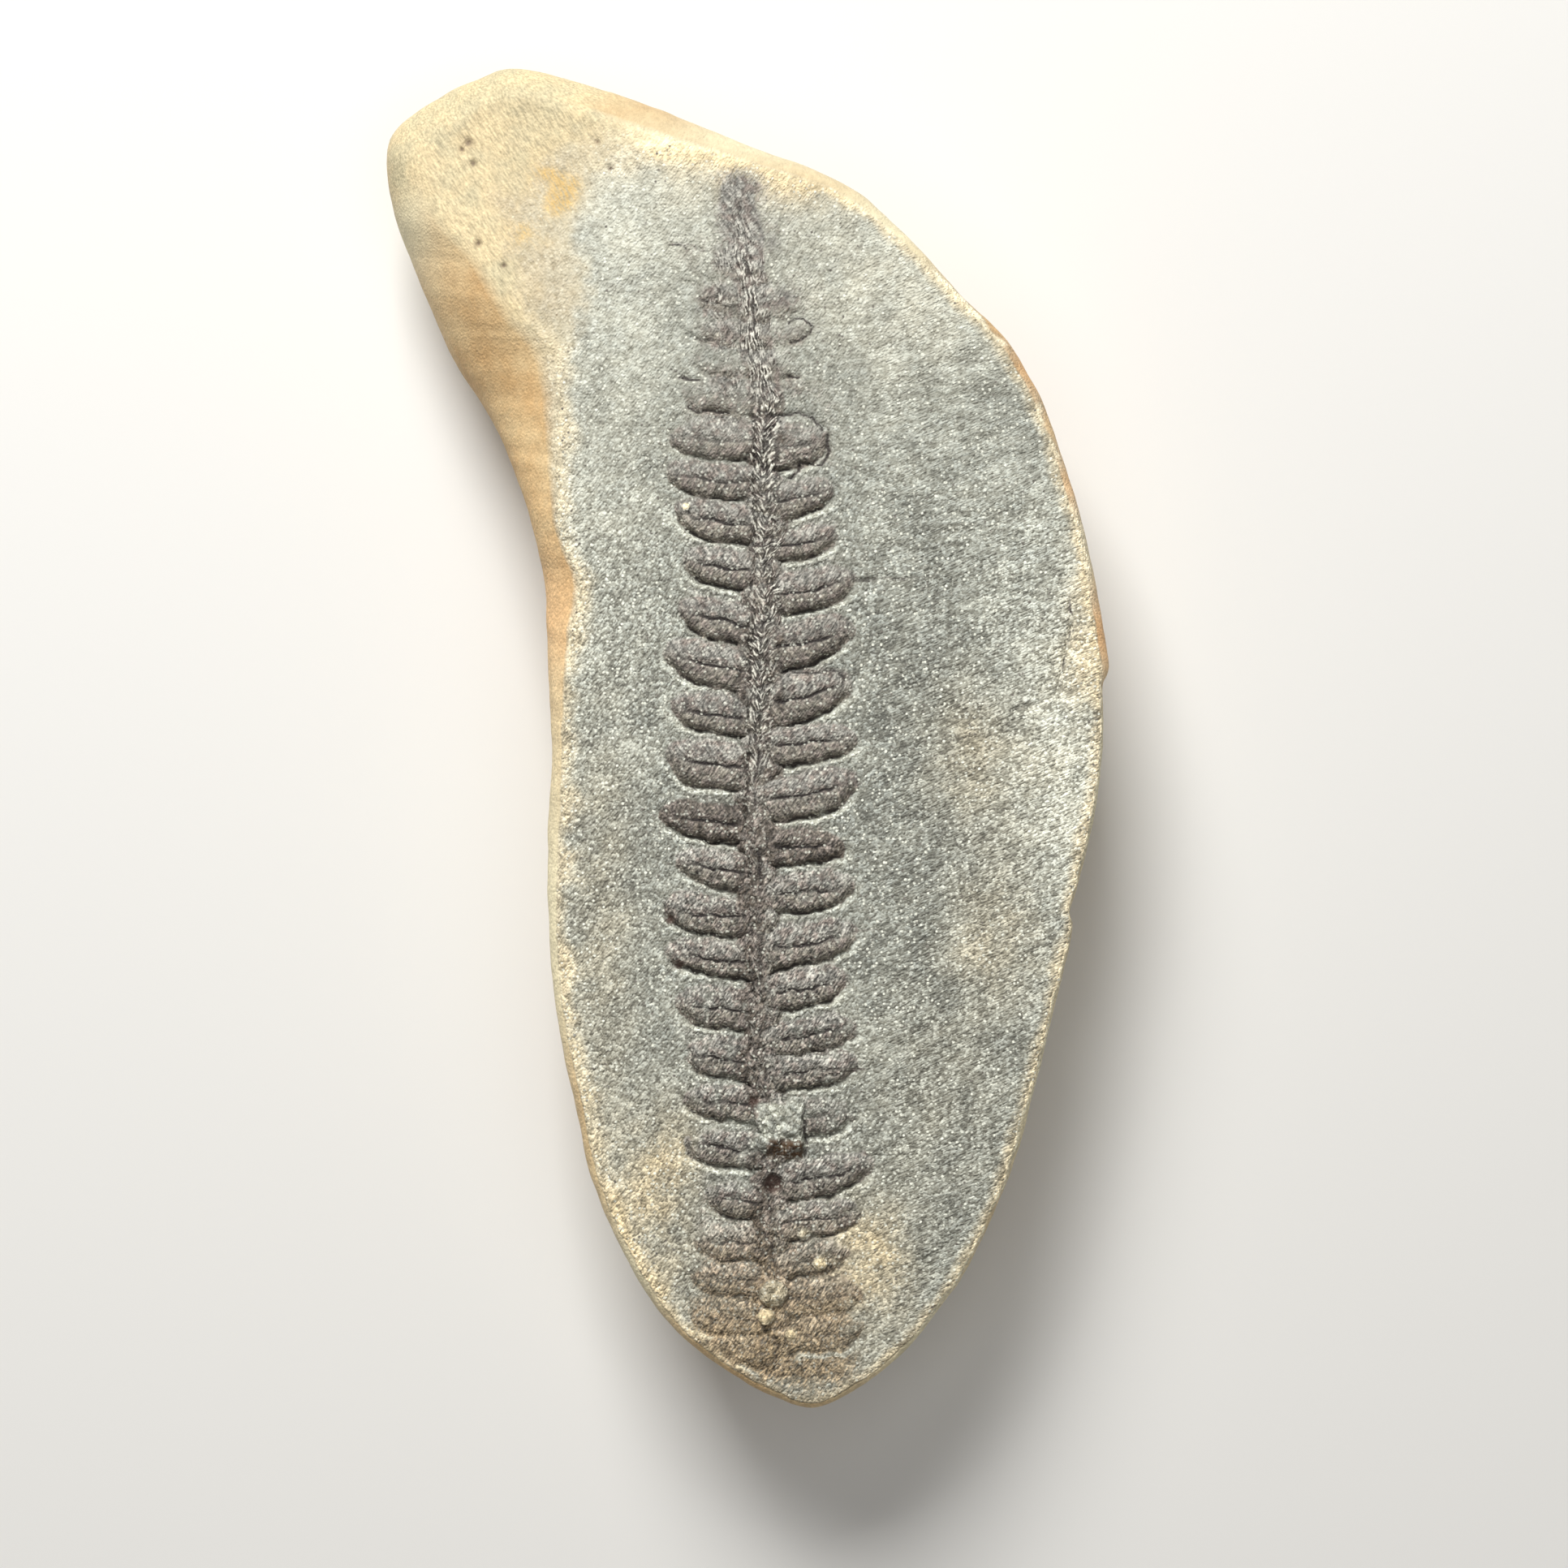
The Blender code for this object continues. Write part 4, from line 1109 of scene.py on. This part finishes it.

# Siderite ironstone split by a blow: a dull, sugary grey surface of grains 0.2 to 0.3 mm
# across, some of them flat crystals whose flashes are painted nearly white into the colour as
# highlights. A range is where a pattern starts and where it is full, and after them the values
# there, unless they are 0 and 1.
splitSiderite = {
    "cool": "9fa299",
    "warm": "a09e8e",
    "cream": "cbb994",
    "paintedFlash": "fafae8",
    "speck": "756f66",
    "grainSize": 0.22,
    "softSize": 0.5,
    "blotchSize": 2.5,
    "flashSize": 0.26,
    # what adds up to a grain's tone, over what range, and how much darker and lighter it gets
    "fewLight": (2.2, 0.8),
    "gritTone": 1.8,
    "softTone": (2.6, -0.15),
    "blotchTone": 0.9,
    "toneRange": (1.12, 2.32, -0.58, 0.88),
    "calmer": (12.0, 40.0, 1.0, 0.55),  # towards the top the grain is fainter
    "softer": (8.0, 36.0, 0.0, 0.8),  # and coarser
    "leftNap": (math.radians(55), 0.42, 0.14),  # direction, length, width
    "rightNap": (math.radians(25), 0.5, 0.14),
    "streak": (math.radians(40), 2.2, 0.35),
    "band": (math.radians(4), 3.6, 0.6),  # the same further up
    "streakRange": (0.3, 0.7, -0.22, 0.22),
    "streaksFrom": (5.0, 13.0),
    "bandsFrom": (-8.0, 4.0),
    "warmRange": (0.3, 0.7),
    "warmDark": (1.35, 0.7),  # dark grains are warmer, by this range of their lightness
    "warmDarkShare": 0.6,
    "palerGain": 0.9,
    # which crystals get a painted flash of light, which are dark specks, and how far out from their
    # middle
    "flashPick": (0.66, 0.92),
    "speckPick": (0.95, 1.0),
    "flashSpot": (0.5, 0.3),
    "flashLess": (-0.4, -0.35, -0.5),  # on film, on the softer stone, on the brownish film
    "grainHeight": (0.0, 0.7, 0.07, 0.0),
    "gritHeight": 0.14,
    "roughness": 0.72,
}

# Carbonised fern film pressed on the stone: a thin brown grey skin, ribbed across each
# pinnule; the near black in its folds is painted shade, and the near white where fibres
# stand out beside the rachis is painted glint.
carbonFilm = {
    # light and brown: the upper and lower half of a pinnule, partly the film's own tones, partly
    # painted light and shade
    "light": "96938a",
    "brown": "7e786c",
    "dark": "5c5349",
    "warm": "a18c6b",
    "tint": "857b72",
    # pit: dark red-brown put in pits and hollows, partly their own colour, partly painted shade
    "pit": "5a453c",
    "glassy": "5c4630",
    "foldShade": "2b2421",
    "paintedGlint": "f8f4e4",
    "ribSize": (0.25, 1.2, 4.0),
    "fibreSize": (0.36, 0.31),
    "strandSize": (0.15, 0.6),
    "fibreDetail": 0.8,
    "tintSize": 0.7,
    "darkRange": (0.7, 1.05),
    "tintRange": (0.45, 0.65),
    "ribRange": (0.3, 0.7, 0.58, 1.42),
    "gritGain": (1.7, 1.9),  # more where it is rough, and everywhere
    "grainShare": (0.7, 0.3),
    # how far the strands lean to painted glint rather than painted shade, and a slight lean the
    # other way everywhere
    "strandBrighter": (0.055, -0.015),
    "paintedGlintRange": (0.555, 0.605),
    "shadeRange": (0.5, 0.43, 0.0, 0.95),
    "veinWidth": (0.17, 0.05),
    "veinBroken": (0.25, 0.42),
    "creaseRange": (0.3, 0.9, 0.0, 0.9),
    # it lies where its own share and a part of the grit and of the blotches add up to this
    "ragged": (0.6, 0.8),
    "coveredRange": (0.85, 1.45),
    "glassyGrains": (0.95, 0.5),
    "fibreHeight": 0.25,
    "ribHeight": 0.12,
}

# Weathered iron oxide rind, rubbed smooth: tan, faintly clouded, dull.
oxideRind = {
    "tan": "cba673",
    "light": "d9bc8c",
    "bare": "eadfbb",
    "rust": "ebb982",
    "lobeCream": "d3c097",
    "lobeGrey": "c4b793",
    "ochre": "c6a055",
    "cloudSize": 3.5,
    "cloudRange": (0.35, 0.65),
    "grainShare": (0.3, 0.7),
    # painted shade: how much darker the far rim's skin is
    "dimmer": (-0.12, 1.0),
    "lobePatch": 2.6,
    "lobeRange": (0.42, 0.62),
    "dash": (math.radians(-55), 0.9, 0.16),
    "dashLight": (0.3, 0.7, 0.72, 1.28),
    "ochreRange": (0.35, 0.6, 0.2, 0.8),
    "lobeGrainShare": (0.26, 0.76),
    "smoother": (0.0, 1.0, 1.0, 0.4),
}


# a noise drawn out along a slant
def drawOut(add, place, row):
    slant, along, across = row
    turned = add("VectorRotate", {"rotation_type": "Z_AXIS"}, (place, (0, 0, 0), -slant))
    stretched = add("VectorMath", times, (turned, (1 / along, 1 / across, 1 / across)))
    return add("TexNoise", {}, (stretched, 1.0, 2.0))


# the stone's grains, cells that differ in tone, with finer grit, blotches and streaks
def grainNodes(add, place, acrossFace, upFace):
    s = splitSiderite
    leftNap, rightNap, streak, band = (
        drawOut(add, place, s[name]) for name in ("leftNap", "rightNap", "streak", "band")
    )
    cells = add("TexVoronoi", {}, (place, 1 / s["grainSize"]))
    cellTone = add("SeparateColor", {}, (cells.outputs["Color"],)).outputs["Red"]
    onRight = add("MapRange", soft, (acrossFace, *s["streaksFrom"]))
    grit = add("Mix", {}, (onRight, leftNap, rightNap))
    blotch = add("TexNoise", {}, (place, 1 / s["blotchSize"], 3.0, 0.6))
    power, share = s["fewLight"]
    tone = add("Math", times, (add("Math", {"operation": "POWER"}, (cellTone, power)), share))
    tone = add("Math", timesPlus, (grit, s["gritTone"], tone))
    softTone = add("TexNoise", {}, (place, 1 / s["softSize"], 2.0))
    softTone = add("Math", timesPlus, (softTone, *s["softTone"]))
    softer = add("MapRange", soft, (upFace, *s["softer"]))
    tone = add("Mix", {}, (softer, tone, softTone))
    tone = add("Math", timesPlus, (blotch, s["blotchTone"], tone))
    banded = add("MapRange", soft, (upFace, *s["bandsFrom"]))
    streaked = add("MapRange", {}, (add("Mix", {}, (banded, streak, band)), *s["streakRange"]))
    tone = add("Math", timesPlus, (streaked, onRight, tone))
    light = add("MapRange", {}, (tone, *s["toneRange"]))
    light = add("Math", timesPlus, (light, add("MapRange", soft, (upFace, *s["calmer"])), 1.0))
    return {
        "cells": cells, "cellTone": cellTone, "grit": grit, "blotch": blotch, "softer": softer,
        "light": light,
    }


# plain stone: cool and warm grey, creamy in places
def stoneNodes(add, field, grains):
    s = splitSiderite
    warmer = add("MapRange", {}, (grains["blotch"], *s["warmRange"]))
    darker = add("MapRange", {}, (grains["light"], *s["warmDark"]))
    warmer = add("Mix", {}, (s["warmDarkShare"], warmer, darker))
    stone = add("Mix", colours, (warmer, linear(s["cool"]), linear(s["warm"])))
    stone = add("Mix", colours, (field["creamier"], stone, linear(s["cream"])))
    paler = add("Math", timesPlus, (field["paler"], s["palerGain"], 1.0))
    return add("VectorMath", scaled, (stone, add("Math", times, (paler, grains["light"]))))


# the film: lighter and thinner on the upper half of a pinnule, ribbed and brown below, the
# lighter upper and darker lower half partly painted light and shade; with fibres beside the
# rachis that are strands up towards its tip, painted glints on them and painted shade between
def filmNodes(add, field, place, upFace, grains):
    c = carbonFilm
    film = add("Mix", colours, (field["upper"], linear(c["brown"]), linear(c["light"])))
    darkness = add("MapRange", {}, (field["tone"], *c["darkRange"]))
    tinted = add("TexNoise", {}, (place, 1 / c["tintSize"], 2.0))
    tinted = add("MapRange", {}, (tinted, *c["tintRange"]))
    for share, name in ((darkness, "dark"), (tinted, "tint"), (field["brownish"], "warm")):
        film = add("Mix", colours, (share, film, linear(c[name])))
    ribs = add("CombineXYZ", {}, (field["ribs"], field["across"], upFace))
    ribs = add("VectorMath", times, (ribs, [1 / size for size in c["ribSize"]]))
    ribs = add("TexNoise", {}, (ribs, 1.0, 1.0))
    gritLight = add("Math", {"operation": "SUBTRACT"}, (grains["grit"], 0.5))
    gritGain = add("Math", timesPlus, (field["rough"], *c["gritGain"]))
    gritLight = add("Math", timesPlus, (gritLight, gritGain, 1.0))
    light = add("Math", timesPlus, (grains["light"], *c["grainShare"]))
    light = add("Math", times, (light, add("MapRange", {}, (ribs, *c["ribRange"]))))
    light = add("Math", times, (light, gritLight))
    film = add("VectorMath", scaled, (film, light))

    patterns = []
    for size, up in ((c["fibreSize"], field["flow"]), (c["strandSize"], upFace)):
        laid = add("CombineXYZ", {}, (field["rachisAway"], up))
        laid = add("VectorMath", times, (laid, (1 / size[0], 1 / size[1], 1.0)))
        patterns.append(add("TexNoise", {}, (laid, 1.0, c["fibreDetail"])))
    fibres = add("Mix", {}, (field["strand"], *patterns))
    brighter = add("Math", timesPlus, (field["strand"], *c["strandBrighter"]))
    fibres = add("Math", {"operation": "ADD"}, (fibres, brighter))
    # painted glints where the fibre pattern is high, painted shade where it is low
    paintedGlint = add("MapRange", {}, (fibres, *c["paintedGlintRange"]))
    paintedGlint = add("Math", times, (paintedGlint, field["fibres"]))
    film = add("Mix", colours, (paintedGlint, film, linear(c["paintedGlint"])))
    shade = add("MapRange", {}, (fibres, *c["shadeRange"]))
    shade = add("Math", times, (shade, field["fibres"]))

    # painted shade in the folds: the crease under each pinnule, its thin midvein, the rachis's
    # middle line and the gaps between fibres, darkened towards near black
    vein = add("Math", {"operation": "ABSOLUTE"}, (field["across"],))
    vein = add("MapRange", soft, (vein, *c["veinWidth"]))
    vein = add("Math", times, (vein, field["veinShare"]))
    broken = add("MapRange", {}, (grains["blotch"], *c["veinBroken"]))
    vein = add("Math", times, (vein, broken))
    foldShade = add("MapRange", soft, (field["crease"], *c["creaseRange"]))
    for other in (shade, vein, field["midline"]):
        foldShade = add("Math", {"operation": "MAXIMUM"}, (foldShade, other))
    return add("Mix", colours, (foldShade, film, linear(c["foldShade"]))), ribs, fibres


# the whole split face: the film where it lies, ragged and patchy, then pits darkened partly
# by their own colour and partly by painted shade, crystals painted with flashes, and dark specks
def faceNodes(add, field, place, stone, film, grains):
    s, c = splitSiderite, carbonFilm
    byGrit, byBlotch = c["ragged"]
    ragged = add("Math", timesPlus, (grains["grit"], byGrit, field["film"]))
    ragged = add("Math", timesPlus, (grains["blotch"], byBlotch, ragged))
    covered = add("MapRange", soft, (ragged, *c["coveredRange"]))
    face = add("Mix", colours, (covered, stone, film))
    # pits and hollows: partly their own dark colour, partly painted shade
    face = add("Mix", colours, (field["pit"], face, linear(c["pit"])))
    glassy = add("MapRange", {}, (grains["cellTone"], *c["glassyGrains"]))
    glassy = add("Math", times, (field["glassy"], glassy))
    face = add("Mix", colours, (glassy, face, linear(c["glassy"])))
    # painted highlights: crystals that flash nearly white, and dark specks
    crystals = add("TexVoronoi", {}, (place, 1 / s["flashSize"]))
    picks = add("SeparateColor", {}, (crystals.outputs["Color"],)).outputs
    spot = add("MapRange", {}, (crystals, *s["flashSpot"]))
    paintedFlash = add("MapRange", {}, (picks["Green"], *s["flashPick"]))
    paintedFlash = add("Math", times, (paintedFlash, spot))
    speck = add("MapRange", {}, (picks["Blue"], *s["speckPick"]))
    speck = add("Math", times, (speck, spot))
    dimmer = 1.0
    for share, less in zip((covered, grains["softer"], field["brownish"]), s["flashLess"]):
        dimmer = add("Math", timesPlus, (share, less, dimmer))
    dimmer.use_clamp = True
    paintedFlash = add("Math", times, (paintedFlash, dimmer))
    face = add("Mix", colours, (paintedFlash, face, linear(s["paintedFlash"])))
    return add("Mix", colours, (speck, face, linear(s["speck"])))


# the rind, and the lobe that split along it
def rindNodes(add, field, place, grains):
    c, r = carbonFilm, oxideRind
    clouds = add("TexNoise", {}, (place, 1 / r["cloudSize"], 5.0, 0.6))
    clouds = add("MapRange", {}, (clouds, *r["cloudRange"]))
    rind = add("Mix", colours, (clouds, linear(r["tan"]), linear(r["light"])))
    rind = add("Mix", colours, (field["paler"], rind, linear(r["bare"])))
    rind = add("Mix", colours, (field["rust"], rind, linear(r["rust"])))
    light = add("Math", timesPlus, (grains["light"], *r["grainShare"]))
    # painted shade darkens the far rim's skin
    dimmer = add("Math", timesPlus, (field["dim"], *r["dimmer"]))
    rind = add("VectorMath", scaled, (rind, add("Math", times, (light, dimmer))))
    patchy = add("TexNoise", {}, (place, 1 / r["lobePatch"], 4.0))
    patchy = add("MapRange", {}, (patchy, *r["lobeRange"]))
    lobe = add("Mix", colours, (patchy, linear(r["lobeCream"]), linear(r["lobeGrey"])))
    dash = drawOut(add, place, r["dash"])
    ochre = add("MapRange", {}, (dash, *r["ochreRange"]))
    ochre = add("Math", times, (ochre, field["ochre"]))
    lobe = add("Mix", colours, (ochre, lobe, linear(r["ochre"])))
    light = add("Math", timesPlus, (grains["light"], *r["lobeGrainShare"]))
    light = add("Math", times, (light, add("MapRange", {}, (dash, *r["dashLight"]))))
    lobe = add("VectorMath", scaled, (lobe, light))
    # pits in the lobe: partly their own dark colour, partly painted shade
    lobe = add("Mix", colours, (field["pit"], lobe, linear(c["pit"])))
    return add("Mix", colours, (field["lobe"], rind, lobe))


def stoneMaterial(piece):
    s, c, r = splitSiderite, carbonFilm, oxideRind
    material = bpy.data.materials.new("siderite ironstone, split and weathered")
    material.use_nodes = True
    tree = material.node_tree
    shader = tree.nodes["Principled BSDF"]
    add = partial(addNode, tree)
    place = add("VectorMath", scaled, (add("TexCoord").outputs["Object"], 1 / mm))
    acrossFace, upFace, _ = add("SeparateXYZ", {}, (place,)).outputs
    field = {
        layer.name: add("Attribute", {"attribute_name": layer.name}).outputs["Fac"]
        for layer in piece.data.attributes
        if layer.data_type == "FLOAT" and layer.domain == "POINT"
    }
    grains = grainNodes(add, place, acrossFace, upFace)
    stone = stoneNodes(add, field, grains)
    film, ribs, fibres = filmNodes(add, field, place, upFace, grains)
    face = faceNodes(add, field, place, stone, film, grains)
    rind = rindNodes(add, field, place, grains)
    colour = add("Mix", colours, (field["rind"], face, rind))
    tree.links.new(colour.outputs[2], shader.inputs["Base Color"])
    shader.inputs["Roughness"].default_value = s["roughness"]

    # fine relief, in millimetres
    height = add("MapRange", {}, (grains["cells"], *s["grainHeight"]))
    height = add("Math", timesPlus, (grains["grit"], s["gritHeight"], height))
    fibrous = add("Math", times, (fibres, field["fibres"]))
    height = add("Math", timesPlus, (fibrous, c["fibreHeight"], height))
    ribbed = add("Math", times, (ribs, field["film"]))
    height = add("Math", timesPlus, (ribbed, c["ribHeight"], height))
    smoother = add("MapRange", {}, (field["rind"], *r["smoother"]))
    height = add("Math", times, (height, smoother))
    bump = add("Bump", {}, {"Strength": 1.0, "Distance": mm, "Height": height})
    tree.links.new(bump.outputs["Normal"], shader.inputs["Normal"])
    print("finish:", len(tree.nodes), "nodes")
    return material


piece = buildNodule()
piece.data.materials.append(stoneMaterial(piece))
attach(piece, "root")
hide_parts("nodule")

# the board that it lies on, a window and a ceiling for light, and the camera above
studio = {
    "floor": "e9e7e2",
    "floorSide": 3.0,
    "camera": (3.1, -4.0, 256.5),
    "lens": 73.3,
    "keyFrom": (-100.0, 350.0, 340.0),
    "keySide": 220.0,
    "keyPower": 3.0,
    "fillFrom": (60.0, -60.0, 600.0),
    "fillSide": 600.0,
    "fillPower": 1.4,
    "room": 0.35,
}


def addFloor():
    half = studio["floorSide"] / 2
    mesh = bpy.data.meshes.new("floor")
    corners = [(-half, -half, 0), (half, -half, 0), (half, half, 0), (-half, half, 0)]
    mesh.from_pydata(corners, [], [(0, 1, 2, 3)])
    floor = bpy.data.objects.new("floor", mesh)
    bpy.context.scene.collection.objects.link(floor)
    material = bpy.data.materials.new("matt painted board")
    material.use_nodes = True
    shader = material.node_tree.nodes["Principled BSDF"]
    shader.inputs["Base Color"].default_value = linear(studio["floor"])
    shader.inputs["Roughness"].default_value = 0.9
    mesh.materials.append(material)


def addLamp(name, place, side, power):
    light = bpy.data.lights.new(name, "AREA")
    light.size = side * mm
    light.energy = power
    lamp = bpy.data.objects.new(name, light)
    lamp.location = Vector(place) * mm
    lamp.rotation_euler = (-lamp.location).to_track_quat("-Z", "Y").to_euler()
    bpy.context.scene.collection.objects.link(lamp)


addFloor()
addLamp("window", studio["keyFrom"], studio["keySide"], studio["keyPower"])
addLamp("ceiling", studio["fillFrom"], studio["fillSide"], studio["fillPower"])
world = bpy.data.worlds.new("room")
world.use_nodes = True
world.node_tree.nodes["Background"].inputs["Strength"].default_value = studio["room"]
bpy.context.scene.world = world
bpy.context.scene.view_settings.view_transform = "Standard"

view = bpy.data.cameras.new("camera")
view.lens = studio["lens"]
camera = bpy.data.objects.new("camera", view)
camera.location = Vector(studio["camera"]) * mm
bpy.context.scene.collection.objects.link(camera)
bpy.context.scene.camera = camera
print("stage: board, two lamps, camera")
